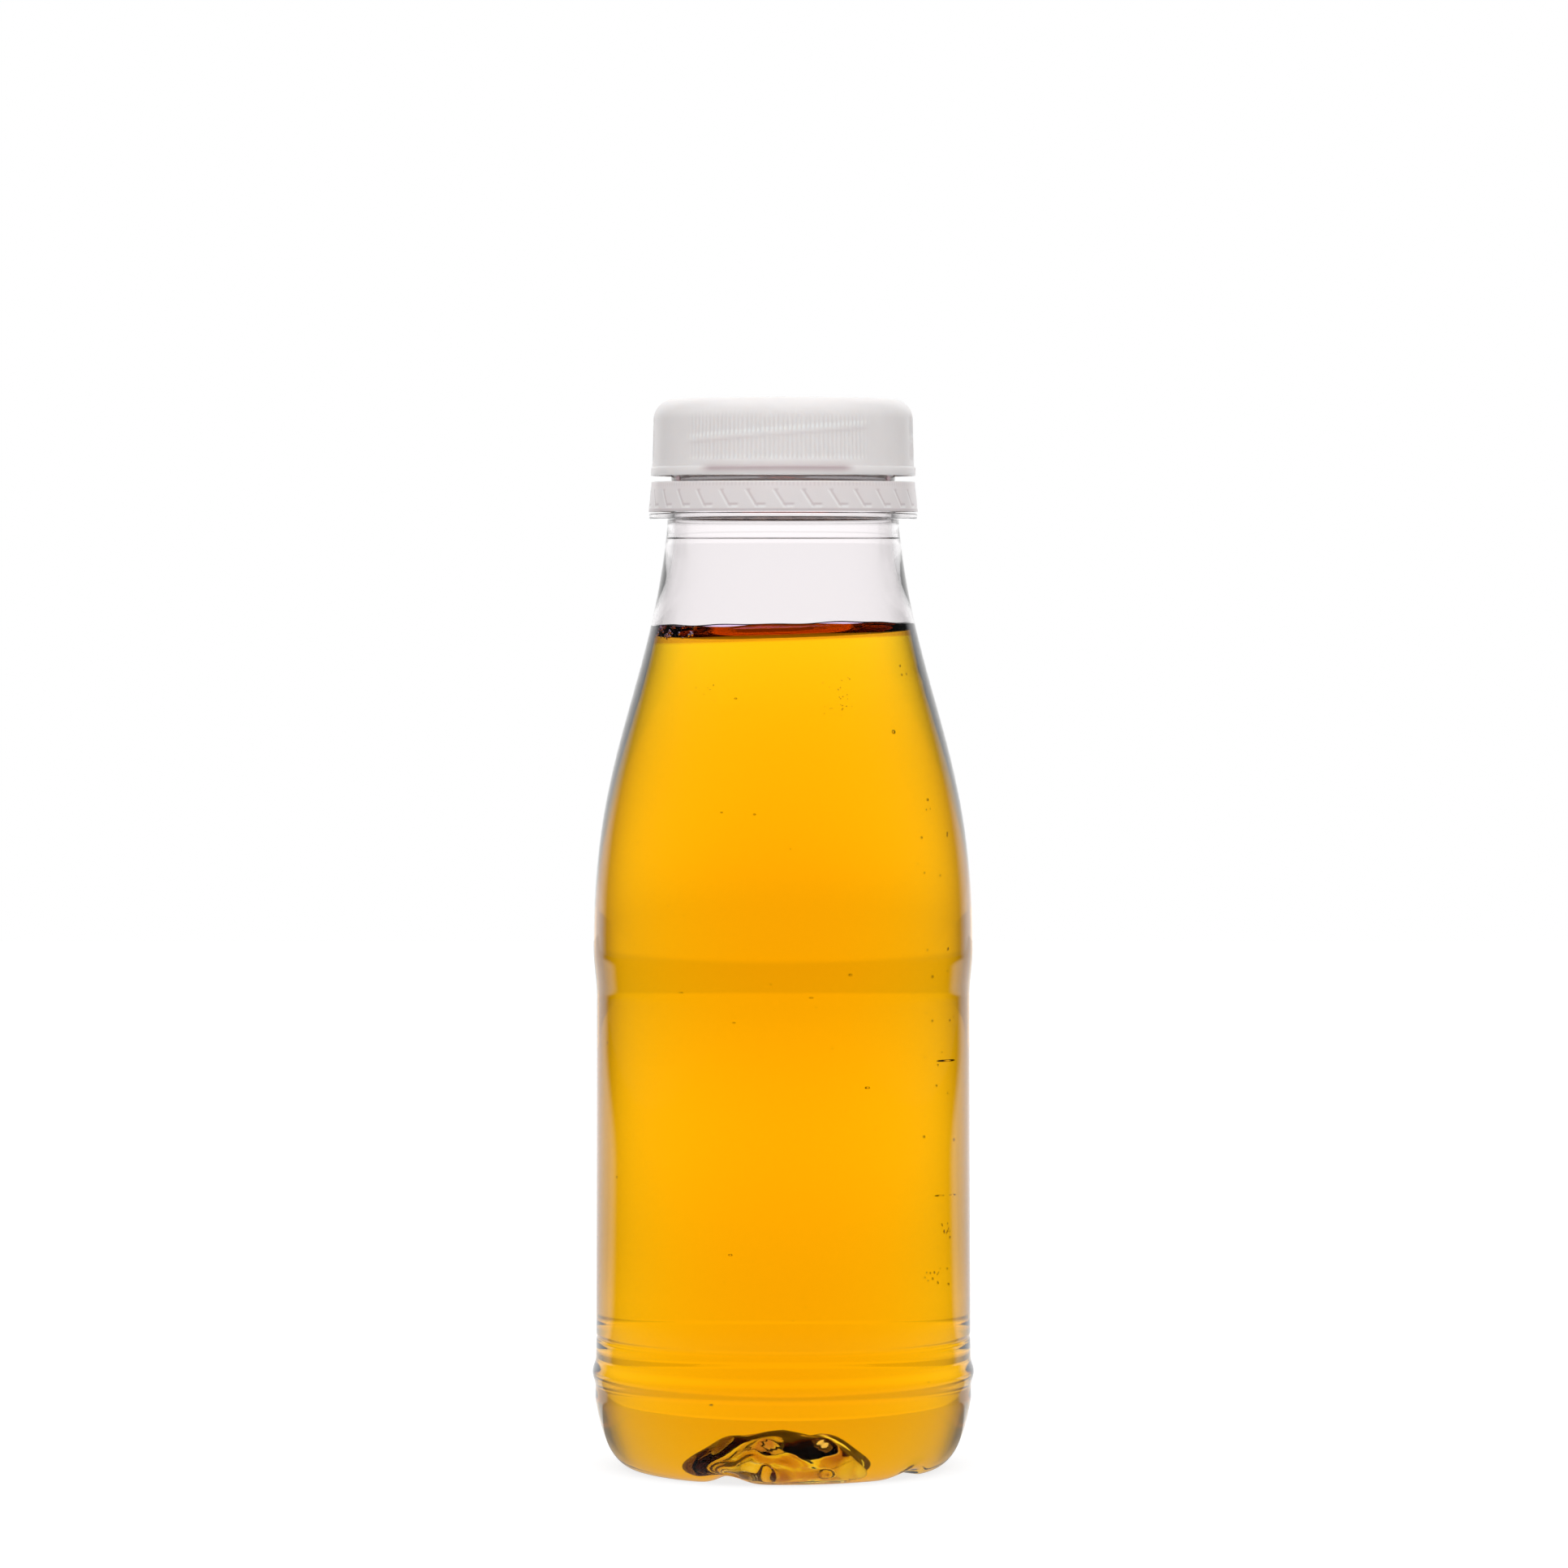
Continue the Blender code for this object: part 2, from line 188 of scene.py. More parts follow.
@dataclass
class Skin:
    """Points and faces of one surface, ready to be joined with others in a mesh.

    Attributes:
        points: the points in millimetres, one row each.
        faces: each face as the list of its points' numbers.
        tone: one number for each point, which a material may read, or None.
    """

    points: np.ndarray
    faces: list
    tone: np.ndarray | None = None

    @classmethod
    def from_grid(
        cls, grid: np.ndarray, loop: bool = False, tone: np.ndarray | None = None
    ) -> "Skin":
        """A surface from rows of points that close round the axis.

        Args:
            grid: rows by columns by three. A first or last row at one point is a pole.
            loop: True joins the last row to the first, as on a ring.
            tone: rows by columns, the tone of each point.

        Returns:
            The surface. Its outside is on the left hand of rows that run up the outside.
        """
        rows, columns = grid.shape[:2]
        ids = np.arange(rows * columns).reshape(rows, columns)
        for row in (0, rows - 1):
            if np.ptp(grid[row], axis=0).max() < 1e-9:
                ids[row] = ids[row, 0]
        last = rows if loop else rows - 1
        low, high = ids[:last], np.roll(ids, -1, axis=0)[:last]
        quads = np.stack([low, np.roll(low, -1, 1), np.roll(high, -1, 1), high], axis=-1)
        used, quads = np.unique(quads, return_inverse=True)
        quads = quads.reshape(-1, 4)
        start_pole = quads[:, 0] == quads[:, 1]
        end_pole = quads[:, 2] == quads[:, 3]
        faces = quads[~(start_pole | end_pole)].tolist()
        faces += quads[start_pole][:, [0, 2, 3]].tolist()
        faces += quads[end_pole][:, [0, 1, 2]].tolist()
        kept = None if tone is None else np.broadcast_to(tone, (rows, columns)).reshape(-1)[used]
        return cls(grid.reshape(-1, 3)[used], faces, kept)

    def copies(self, points: np.ndarray) -> "Skin":
        """Joined copies of this surface's faces over other points, copy by copy."""
        count, each = points.shape[:2]
        offsets = each * np.arange(count)
        faces = [[p + int(o) for p in face] for o in offsets for face in self.faces]
        return Skin(points.reshape(-1, 3), faces)


def ball(rows: int, columns: int, inward: bool = False) -> Skin:
    """A sphere of radius one.

    Args:
        rows: stretches from pole to pole.
        columns: stretches round.
        inward: True turns its faces inwards, as round a bubble in a liquid.

    Returns:
        The sphere: radius sine and height minus cosine of the angle from its lower pole.
    """
    polar = np.linspace(0.0, np.pi, rows + 1)[:, None]
    radius = np.sin(polar)
    radius[[0, -1]] = 0.0
    made = Skin.from_grid(around(radius, -np.cos(polar), turns(columns)))
    if inward:
        made.faces = [face[::-1] for face in made.faces]
    return made


def piece(name: str, skins: list[Skin], material: bpy.types.Material) -> bpy.types.Object:
    """One smooth mesh object at the origin, made of several surfaces.

    Args:
        name: the object's name.
        skins: the surfaces it joins.
        material: its material.

    Returns:
        The object, linked to the scene.
    """
    starts = np.cumsum([0] + [len(skin.points) for skin in skins])
    points = np.concatenate([skin.points for skin in skins]) * MM
    faces = []
    for skin, start in zip(skins, starts):
        faces += [[point + int(start) for point in face] for face in skin.faces]
    data = bpy.data.meshes.new(name)
    data.from_pydata(points, [], faces)
    data.validate()
    data.shade_smooth()
    if any(skin.tone is not None for skin in skins):
        tones = [np.zeros(len(s.points)) if s.tone is None else s.tone for s in skins]
        attribute = data.attributes.new("tone", "FLOAT", "POINT")
        attribute.data.foreach_set("value", np.concatenate(tones))
    data.materials.append(material)
    made = bpy.data.objects.new(name, data)
    bpy.context.scene.collection.objects.link(made)
    return made


def install(made: bpy.types.Object, slot: Slot, *nodes: str) -> None:
    """Lets a piece ride with the bottle and stand for nodes, and logs how many triangles it has."""
    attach(made, BODY)
    if nodes:
        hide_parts(*nodes)
    made.data.calc_loop_triangles()
    LOG.info("%s: %d triangles", made.name, len(made.data.loop_triangles))


class Graph:
    """Short calls for the nodes of one material or world."""

    def __init__(self, tree: bpy.types.NodeTree) -> None:
        """Empties the tree and keeps it."""
        self.tree = tree
        tree.nodes.clear()

    def node(self, kind: str, values: dict | None = None, **settings: object) -> bpy.types.Node:
        """Adds a node.

        Args:
            kind: its type's name, without the leading ShaderNode.
            values: for each input's name or number, a value, or a socket to link from.
            settings: the node's own properties.

        Returns:
            The node.
        """
        made = self.tree.nodes.new("ShaderNode" + kind)
        for name, setting in settings.items():
            setattr(made, name, setting)
        for name, value in (values or {}).items():
            if isinstance(value, bpy.types.NodeSocket):
                self.tree.links.new(value, made.inputs[name])
            else:
                made.inputs[name].default_value = value
        return made

    def math(self, operation: str, first: object, second: object = 0.0) -> bpy.types.NodeSocket:
        """One operation on two values or sockets."""
        return self.node("Math", {0: first, 1: second}, operation=operation).outputs[0]

    def times(self, *values: object) -> object:
        """The product of values or sockets."""
        return reduce(lambda made, value: self.math("MULTIPLY", made, value), values)

    def plus(self, *values: object) -> object:
        """The sum of values or sockets."""
        return reduce(lambda made, value: self.math("ADD", made, value), values)

    def most(self, *values: object) -> object:
        """The highest of values or sockets."""
        return reduce(lambda made, value: self.math("MAXIMUM", made, value), values)

    def size(self, value: object) -> bpy.types.NodeSocket:
        """A value without its sign."""
        return self.math("ABSOLUTE", value)

    def near(self, value: object, middle: float, reach: float) -> bpy.types.NodeSocket:
        """One where a value is less than reach away from the middle, else zero."""
        return self.math("LESS_THAN", self.size(self.math("SUBTRACT", value, middle)), reach)

    def eased(
        self, value: object, low: float, high: float, start: float = 0.0, end: float = 1.0
    ) -> bpy.types.NodeSocket:
        """A smooth step from start, where the value is low, to end, where it is high."""
        values = {"Value": value, "From Min": low, "From Max": high}
        values |= {"To Min": start, "To Max": end}
        return self.node("MapRange", values, interpolation_type="SMOOTHSTEP").outputs[0]

    def mixed(self, share: object, first: tuple, second: tuple) -> bpy.types.NodeSocket:
        """A colour between two colours, by a share from zero to one."""
        ends = {6: (*first, 1.0), 7: (*second, 1.0)}
        return self.node("Mix", {0: share} | ends, data_type="RGBA").outputs[2]

    def noise(
        self, scale: float, detail: float = 2.0, stretch: tuple = (1.0, 1.0, 1.0)
    ) -> bpy.types.NodeSocket:
        """Noise over the piece in the object's own coordinates.

        Args:
            scale: how many cells there are in a metre.
            detail: how many finer layers are added.
            stretch: how the coordinates are scaled first.

        Returns:
            The noise's value, about 0.5 on average.
        """
        place = self.node("TexCoord").outputs["Object"]
        spread = self.node("Mapping", {"Vector": place, "Scale": stretch}).outputs[0]
        values = {"Vector": spread, "Scale": scale, "Detail": detail}
        return self.node("TexNoise", values).outputs[0]

    def ray_kinds(self, path: object) -> tuple:
        """Tells apart the light that was bent, that was mirrored and that matt surfaces get.

        Light counts as mirrored if it never went through a face, or went through four, as
        where it turns back at the near wall of the juice. It counts as sunk if it went
        through five to seven, as where it turns back under the juice's surface.

        Args:
            path: the outputs of a Light Path node.

        Returns:
            Four sockets for bent, mirrored, sunk and other light, each one for its own kind
            of ray and all zero for the camera's.
        """
        passed = path["Transmission Depth"]
        deep = self.math("GREATER_THAN", path["Glossy Depth"], 0.5)
        turned = self.times(deep, path["Is Glossy Ray"])
        never = self.math("LESS_THAN", passed, 0.5)
        mirrored = self.times(turned, self.most(never, self.near(passed, 4.0, 0.5)))
        sunk = self.times(turned, self.near(passed, 6.0, 1.5))
        straight = self.math("SUBTRACT", 1.0, self.plus(mirrored, sunk))
        bent = self.times(path["Is Transmission Ray"], straight)
        sharp = self.math("LESS_THAN", path["Diffuse Depth"], 0.5)
        bent, mirrored, sunk = (self.times(kind, sharp) for kind in (bent, mirrored, sunk))
        known = self.plus(bent, mirrored, sunk, path["Is Camera Ray"])
        return bent, mirrored, sunk, self.math("SUBTRACT", 1.0, known)

    def by_kind(self, path: object, *levels: object) -> bpy.types.NodeSocket:
        """The sum of four brightnesses, each for its own one of the four kinds of light."""
        return self.plus(*map(self.times, self.ray_kinds(path), levels))


def material(name: str) -> tuple[bpy.types.Material, Graph]:
    """A new material and the calls that fill its nodes."""
    made = bpy.data.materials.new(name)
    made.use_nodes = True
    return made, Graph(made.node_tree)


@dataclass(frozen=True)
class ClearPlastic:
    """Finish of the blown bottle: clear and glossy, with a faint unevenness from blowing.

    Attributes:
        tint: what the plastic does to light that passes one face.
        neck_tint: the same from just above the juice up through the neck, where the bottle is
            empty.
        neck_from: heights in metres where the neck's tint starts and where it is full.
        ior: its refractive index.
        gloss: how much of its head-on reflection it keeps.
        ripple: strength of the finest unevenness of its surface.
        ripple_scale: how many cells of that unevenness there are in a metre.
        ripple_stretch: how its coordinates are scaled, so that it runs up the wall.
    """

    tint: tuple = (0.975, 0.955, 0.965)
    neck_tint: tuple = (0.884, 0.862, 0.870)
    neck_from: tuple = (0.132, 0.134)
    ior: float = 1.575
    gloss: float = 0.06
    ripple: float = 0.04
    ripple_scale: float = 160.0
    ripple_stretch: tuple = (1.0, 1.0, 0.35)

    def make(self) -> bpy.types.Material:
        """The material: noise over the surface bends its shading very slightly."""
        made, graph = material("clear_blown_plastic")
        noise = graph.noise(self.ripple_scale, 1.0, self.ripple_stretch)
        relief = {"Strength": self.ripple, "Distance": 0.2 * MM, "Height": noise}
        place = graph.node("TexCoord").outputs["Object"]
        height = graph.node("SeparateXYZ", {"Vector": place}).outputs[2]
        share = graph.eased(height, *self.neck_from)
        values = {
            "Base Color": graph.mixed(share, self.tint, self.neck_tint),
            "Roughness": 0.0,
            "IOR": self.ior,
            "Specular Tint": (self.gloss, self.gloss, self.gloss, 1.0),
            "Transmission Weight": 1.0,
            "Normal": graph.node("Bump", relief).outputs[0],
        }
        shader = graph.node("BsdfPrincipled", values)
        graph.node("OutputMaterial", {"Surface": shader.outputs[0]})
        return made


@dataclass(frozen=True)
class AmberJuice:
    """Finish of the juice: clear, and coloured by its depth and by the painted shade of the tone on
    its mesh.

    Attributes:
        loss: how strongly red, green and blue light are taken, as shares of the density.
        density: the absorption of light for each metre where the loss is one.
        ior: its refractive index.
        rim: what its surface lets through where the tone is one, as painted shade: where it
        climbs the wall, and in part over the base's thick middle and raised patches.
    """

    loss: tuple = (0.033, 0.148, 1.0)
    density: float = 130.0
    ior: float = 1.34
    rim: tuple = (0.60, 0.36, 0.80)

    def make(self) -> bpy.types.Material:
        """The material: a clear surface round a volume that takes light by its depth."""
        made, graph = material("clear_amber_juice")
        left = tuple(1.0 - share for share in self.loss)
        tone = graph.node("Attribute", attribute_name="tone").outputs["Fac"]
        values = {
            "Base Color": graph.mixed(tone, (1.0, 1.0, 1.0), self.rim),
            "Roughness": 0.0,
            "IOR": self.ior,
            "Specular Tint": (0.0, 0.0, 0.0, 1.0),
            "Transmission Weight": 1.0,
        }
        shader = graph.node("BsdfPrincipled", values)
        depth = graph.node("VolumeAbsorption", {"Color": (*left, 1.0), "Density": self.density})
        graph.node("OutputMaterial", {"Surface": shader.outputs[0], "Volume": depth.outputs[0]})
        return made


@dataclass(frozen=True)
class MilkyPlastic:
    """Finish of the closure: natural plastic that scatters light and lets some through.

    Attributes:
        name: the material's name.
        pale: its colour with no tone at all, the palest that painted highlights reach.
        deep: the colour of painted shade, where the tone is one.
        plain: the tone of plain places, which the tone on the mesh is added to.
        clouds: how much a soft noise of about 4 mm changes the tone.
        haze: roughness of its surface.
        scatter: how far light spreads inside, in millimetres.
    """

    name: str
    pale: tuple = (0.94, 0.915, 0.90)
    deep: tuple = (0.44, 0.34, 0.36)
    plain: float = 0.22
    clouds: float = 0.08
    haze: float = 0.32
    scatter: float = 2.0

    def make(self) -> bpy.types.Material:
        """The material: the mesh's tone, which carries painted light and shade, and a soft noise
        mix its colours.
        """
        made, graph = material(self.name)
        # The tone attribute carries painted light and shade.
        tone = graph.node("Attribute", attribute_name="tone").outputs["Fac"]
        cloud = graph.times(graph.math("SUBTRACT", graph.noise(260.0, 3.0), 0.5), self.clouds)
        grain = {"Strength": 0.08, "Distance": 0.1 * MM, "Height": graph.noise(2400.0)}
        haze = self.haze - 0.04, self.haze + 0.04
        values = {
            "Base Color": graph.mixed(graph.plus(tone, cloud, self.plain), self.pale, self.deep),
            "Roughness": graph.eased(graph.noise(900.0), 0.3, 0.7, *haze),
            "IOR": 1.5,
            "Subsurface Weight": 1.0,
            "Subsurface Radius": (1.0, 0.92, 0.86),
            "Subsurface Scale": self.scatter * MM,
            "Normal": graph.node("Bump", grain).outputs[0],
        }
        shader = graph.node("BsdfPrincipled", values)
        graph.node("OutputMaterial", {"Surface": shader.outputs[0]})
        return made


@dataclass(frozen=True)
class Body:
    """The bottle's outline, wall and footed base, which the shell and the juice share.

    The sizes with "rows" in their names say into how many stretches a part of the outline
    is cut. The hammer is the height of the base's unevenness, and the hump is how much
    thicker the base is in the middle than at its rim.
    """

    foot_inner: float = 21.4
    foot_outer: float = 24.0
    heel_radius: float = 29.97
    heel_top: float = 11.1
    heel_low_handle: tuple = (3.82, 0.84)
    heel_high_handle: tuple = (-0.73, -4.72)
    bead_radius: float = 30.39
    bead_height: float = 15.3
    bead_half_width: float = 2.3
    panel_low_radius: float = 29.82
    panel_high_radius: float = 29.66
    panel_top: float = 75.1
    groove_height: float = 21.0
    groove_half_width: float = 0.7
    groove_depth: float = 0.12
    belly_radius: float = 30.17
    belly_height: float = 84.0
    waist_top: float = 82.5
    neck_radius: float = 18.4
    neck_height: float = 149.8
    shoulder_low_handle: tuple = (0.0, 29.56)
    shoulder_high_handle: tuple = (2.63, -26.09)
    cone_height: float = 1.7
    dome_height: float = 2.0
    dome_radius: float = 9.5
    feet: int = 5
    first_groove_deg: float = -20.2
    foot_groove_height: float = 1.3
    foot_groove_rise: float = 0.8
    foot_groove_half_width: float = 2.7
    foot_groove_start: float = 3.0
    foot_groove_full: float = 8.0
    foot_groove_end: float = 27.6
    crowding: float = 0.45
    hammer: float = 0.06
    hammer_lengths: tuple = (3.1, 3.9, 4.6, 5.8, 7.3, 9.1)
    hammer_full_length: float = 6.0
    hump_height: float = 3.4
    hump_radius: float = 19.0
    wave_counts: tuple = (3, 5, 8, 13, 19, 27)
    wave_height: float = 0.09
    wave_lean: float = 0.05
    wave_rise: tuple = (6.0, 24.0)
    wave_fall: tuple = (128.0, 142.0)
    dome_reach: float = 12.0
    dome_rows: int = 24
    base_rows: int = 8
    heel_rows: int = 24
    bead_rows: int = 26
    groove_rows: int = 8
    panel_rows: int = 18
    waist_rows: int = 16
    shoulder_rows: int = 48
    body_wall: float = 0.5
    base_wall: float = 0.9
    neck_wall: float = 1.3
    neck_wall_start: float = 136.0
    neck_wall_full: float = 147.1

    def angles(self, count: int) -> np.ndarray:
        """Angles round the axis, closer together near the grooves between the feet.

        Even angles minus a sine of as many waves as there are feet, so that the spacing
        is less than the even one by the crowding at a groove, and more by it between two.
        """
        even = turns(count)
        start = np.radians(self.first_groove_deg)
        return start + even - self.crowding * np.sin(self.feet * even) / self.feet

    def underside(self, radius: np.ndarray) -> np.ndarray:
        """Height of the underside between the grooves: a cone with a round dome on it."""
        cone = self.cone_height * (1.0 - radius / self.foot_inner)
        return cone + self.dome_height * bump(radius, 0.0, self.dome_radius)

    def lower_bead(self, height: np.ndarray) -> np.ndarray:
        """Radius above the heel: a straight run to the panel with a round bump on it."""
        high = self.groove_height - self.groove_half_width
        run = [self.heel_top, high], [self.heel_radius, self.panel_low_radius]
        peak = self.bead_radius - np.interp(self.bead_height, *run)
        return np.interp(height, *run) + peak * bump(height, self.bead_height, self.bead_half_width)

    def outline(self) -> np.ndarray:
        """Radius and height of the outside from the base's middle up to the neck."""
        rim = self.foot_inner - 0.4
        dome = np.linspace(0.0, self.dome_reach, self.dome_rows + 1)
        radii = np.concatenate([dome, np.linspace(self.dome_reach + 1.0, rim, self.base_rows + 1)])
        base = np.stack([radii, self.underside(radii)], axis=1)
        middle = 0.5 * (self.foot_inner + self.foot_outer)
        foot = np.array([[self.foot_inner + 0.4, 0.0], [middle, 0.0]])
        ends = (self.foot_outer, 0.0), (self.heel_radius, self.heel_top)
        heel = bezier(ends[0], self.heel_low_handle, self.heel_high_handle, ends[1], self.heel_rows)
        groove_low = self.groove_height - self.groove_half_width
        groove_high = self.groove_height + self.groove_half_width
        high = steps_up(self.heel_top, groove_low, self.bead_rows)
        bead = np.stack([self.lower_bead(high), high], axis=1)
        high = steps_up(groove_low, groove_high, self.groove_rows)
        dip = self.groove_depth * bump(high, self.groove_height, self.groove_half_width)
        groove = np.stack([self.panel_low_radius - dip, high], axis=1)
        high = steps_up(groove_high, self.panel_top, self.panel_rows)
        ends = [groove[-1, 1], self.panel_top], [self.panel_low_radius, self.panel_high_radius]
        panel = np.stack([np.interp(high, *ends), high], axis=1)
        high = steps_up(self.panel_top, self.belly_height, self.waist_rows)
        step = eased(high, self.panel_top, self.waist_top)
        growth = self.belly_radius - self.panel_high_radius
        waist = np.stack([self.panel_high_radius + growth * step, high], axis=1)
        ends = (self.belly_radius, self.belly_height), (self.neck_radius, self.neck_height)
        handles = self.shoulder_low_handle, self.shoulder_high_handle
        shoulder = bezier(ends[0], *handles, ends[1], self.shoulder_rows)[1:]
        return np.concatenate([base, foot, heel, bead, groove, panel, waist, shoulder])

    def wall_at(self, height: np.ndarray) -> np.ndarray:
        """Thickness of the wall, which grows into the base and into the neck."""
        thinned = self.body_wall - self.base_wall
        base = self.base_wall + thinned * eased(height, 0.0, self.heel_top)
        neck = eased(height, self.neck_wall_start, self.neck_wall_full)
        return base + (self.neck_wall - base) * neck

    def inside(self, sink: float = 0.0) -> np.ndarray:
        """The wall's inner face, moved into the wall by sink where that isn't zero.

        The base grows thicker towards its middle, in a round hump over the dome.
        """
        path = self.outline()
        radius, height = path.T
        hump = self.hump_height * bump(radius, 0.0, self.hump_radius)
        return shifted(path, self.wall_at(height) + hump * (height < self.heel_top) - sink)

    def foot_groove(self, radius: np.ndarray, angle: np.ndarray) -> np.ndarray:
        """How far the radial grooves lift the base.

        A bell across each groove, eased in and out along it, and higher by a straight rise
        towards the middle of the base.
        """
        spacing = 2.0 * np.pi / self.feet
        turned_by = angle - np.radians(self.first_groove_deg)
        off_axis = (turned_by + 0.5 * spacing) % spacing - 0.5 * spacing
        across = np.exp(-((radius * off_axis / self.foot_groove_half_width) ** 2))
        rise = self.foot_groove_start, self.foot_groove_full
        along = window(radius, rise, (self.foot_outer, self.foot_groove_end))
        high = self.foot_groove_height + self.foot_groove_rise * (1.0 - radius / self.foot_outer)
        return high * along * across

    def waves(self, height: np.ndarray, angle: np.ndarray) -> np.ndarray:
        """Unevenness of the blown wall in millimetres, none at the base and the neck.

        A sum of sines with whole numbers of waves round the axis, each leaning a little
        with height and starting at its own place.
        """
        draw = np.random.default_rng(11)
        total = 0.0
        for count in self.wave_counts:
            lean = draw.uniform(-self.wave_lean, self.wave_lean)
            start = draw.uniform(0.0, 2.0 * np.pi)
            wave = np.sin(count * angle + lean * height + start)
            total = total + wave * self.wave_height / count
        return total * window(height, self.wave_rise, self.wave_fall)

    def hammered(self, radius: np.ndarray, angle: np.ndarray) -> np.ndarray:
        """Unevenness of the base in millimetres: sines over the floor plan, none at the rim."""
        draw = np.random.default_rng(3)
        x, y = radius * np.sin(angle), radius * np.cos(angle)
        total = 0.0
        for length in self.hammer_lengths:
            way, start = draw.uniform(0.0, np.pi), draw.uniform(0.0, 2.0 * np.pi)
            wave = np.sin(2.0 * np.pi * (x * np.cos(way) + y * np.sin(way)) / length + start)
            total = total + self.hammer * wave * length / self.hammer_full_length
        return total * (1.0 - eased(radius, self.foot_inner - 2.0, self.foot_inner + 0.6))

    def wrapped(self, path: np.ndarray, angle: np.ndarray, wavy: float) -> np.ndarray:
        """The path turned round the axis, with the feet's grooves and the wall's waves.

        Args:
            path: points as radius and height.
            angle: the angles of the columns.
            wavy: how much of the wall's unevenness this face has.

        Returns:
            Rows by columns of points.
        """
        radius, height = path[:, :1], path[:, 1:]
        turn = angle[None]
        lift = self.foot_groove(radius, turn) + self.hammered(radius, turn)
        lift = np.where(height < self.heel_top, lift, 0.0)
        wave = wavy * self.waves(height, turn) * (radius > self.foot_outer)
        return around(radius + wave, np.maximum(height + lift, 0.0), turn)


@dataclass(frozen=True)
class Thread:
    """A screw thread of several starts, as a ridge on a turned wall."""

    starts: int = 3
    lead: float = 7.1
    sweep_deg: float = 150.0
    first_deg: float = -75.0
    low: float = 162.6
    height: float = 1.0
    root_width: float = 2.0
    crest_width: float = 0.8
    run_out_deg: float = 22.0

    def rise(self, height: np.ndarray, angle: np.ndarray) -> np.ndarray:
        """How far the ridge stands from the wall.

        For each start, the angle past its beginning gives the ridge's middle along the
        helix; the ridge is full inside its crest, falls in a straight flank to its root,
        and fades in and out at its ends. The highest of the starts counts.
        """
        made = 0.0
        for start in range(self.starts):
            past = (np.degrees(angle) - self.first_deg - 360.0 * start / self.starts) % 360.0
            middle = self.low + self.lead * past / 360.0
            flank = 0.5 * (self.root_width - self.crest_width)
            beyond = np.abs(height - middle) - 0.5 * self.crest_width
            across = 1.0 - np.clip(beyond / flank, 0.0, 1.0)
            fade = self.sweep_deg - self.run_out_deg, self.sweep_deg
            made = np.maximum(made, across * window(past, (0.0, self.run_out_deg), fade))
        return self.height * made


@dataclass
class BottleShell:
    """The blown bottle: one closed wall with its support ring, locking bead and thread.

    The neck's wall turns in at the bore step, below which it follows the body's wall. The
    thread rows are the longest stretch of the threaded wall, and the cuts round corners.
    """

    body: Body
    thread: Thread = field(default_factory=Thread)
    finish: ClearPlastic = field(default_factory=ClearPlastic)
    columns: int = 230
    ring_radius: float = 21.3
    ring_low: float = 150.9
    ring_high: float = 151.75
    finish_radius: float = 17.8
    bead_radius: float = 19.2
    bead_low: float = 154.5
    bead_high: float = 156.7
    bead_slope: float = 0.8
    lip: float = 168.0
    lip_cut: float = 0.4
    bore: float = 17.28
    bore_step: float = 147.9
    neck_cut: float = 0.12
    thread_rows: float = 0.23

    def neck_outside(self) -> np.ndarray:
        """Radius and height from the neck's top over the ring and the bead to the thread."""
        neck = self.body.neck_radius + 0.02
        corners = [
            (neck, self.body.neck_height + 0.3),
            (neck, self.ring_low + 0.1),
            (self.ring_radius, self.ring_low),
            (self.ring_radius, self.ring_high),
            (self.finish_radius, self.ring_high + 0.15),
            (self.finish_radius, self.bead_low),
            (self.bead_radius, self.bead_low + self.bead_slope),
            (self.bead_radius, self.bead_high - self.bead_slope),
            (self.finish_radius, self.bead_high),
            (self.finish_radius, self.thread.low - self.thread.root_width),
        ]
        return filleted(corners, self.neck_cut)

    def neck_wall(self) -> np.ndarray:
        """Radius and height of the threaded wall, the lip and the bore down to its step."""
        start = self.thread.low - self.thread.root_width
        foot = self.body.neck_radius + 0.3 - self.body.neck_wall
        corners = [
            (self.finish_radius, start + 0.2),
            (self.finish_radius, self.lip),
            (self.bore, self.lip),
            (self.bore, self.bore_step),
            (foot, self.bore_step - 0.3),
            (foot + 0.02, self.body.neck_wall_full),
        ]
        path = filleted(corners, self.lip_cut)
        outer = path[:, 0] > self.finish_radius - 1e-6
        fine = spaced(path[outer], self.thread_rows)
        return np.concatenate([fine, spaced(path[~outer], 2.0)])

    def build(self) -> bpy.types.Object:
        """Builds the wall as one turned surface, out over the lip and back down inside."""
        body = self.body
        angle = body.angles(self.columns)
        outside = body.wrapped(body.outline(), angle, 0.5)
        neck = np.concatenate([self.neck_outside(), self.neck_wall()])
        radius, height = neck[:, :1], neck[:, 1:]
        on_wall = (np.abs(radius - self.finish_radius) < 1e-6) & (height > self.bead_high)
        ridge = np.where(on_wall, self.thread.rise(height, angle[None]), 0.0)
        finish = around(radius + ridge, height, angle[None])
        path = body.inside()
        path = path[path[:, 1] < body.neck_wall_full - 0.2]
        keep = np.ones(len(path), bool)
        keep[1 : body.dome_rows + 1 : 2] = False
        inside = body.wrapped(path[keep][::-1], angle, 1.0)
        skin = Skin.from_grid(np.concatenate([outside, finish, inside]))
        made = piece("bottle_shell", [skin], self.finish.make())
        install(made, Slot.CLEAR, "bottle")
        return made


@dataclass(frozen=True)
class BubbleCluster:
    """Small bubbles that cling to the inside of the wall, over one patch of it.

    Attributes:
        angle: the patch's middle, in degrees from the front towards +X.
        height: the height of its middle.
        spread_angle: how far it reaches to each side, in degrees.
        spread_height: how far it reaches up and down.
        count: how many bubbles it has.
        smallest: radius of the smallest.
        largest: radius of the largest.
    """

    angle: float
    height: float
    spread_angle: float
    spread_height: float
    count: int
    smallest: float = 0.10
    largest: float = 0.20


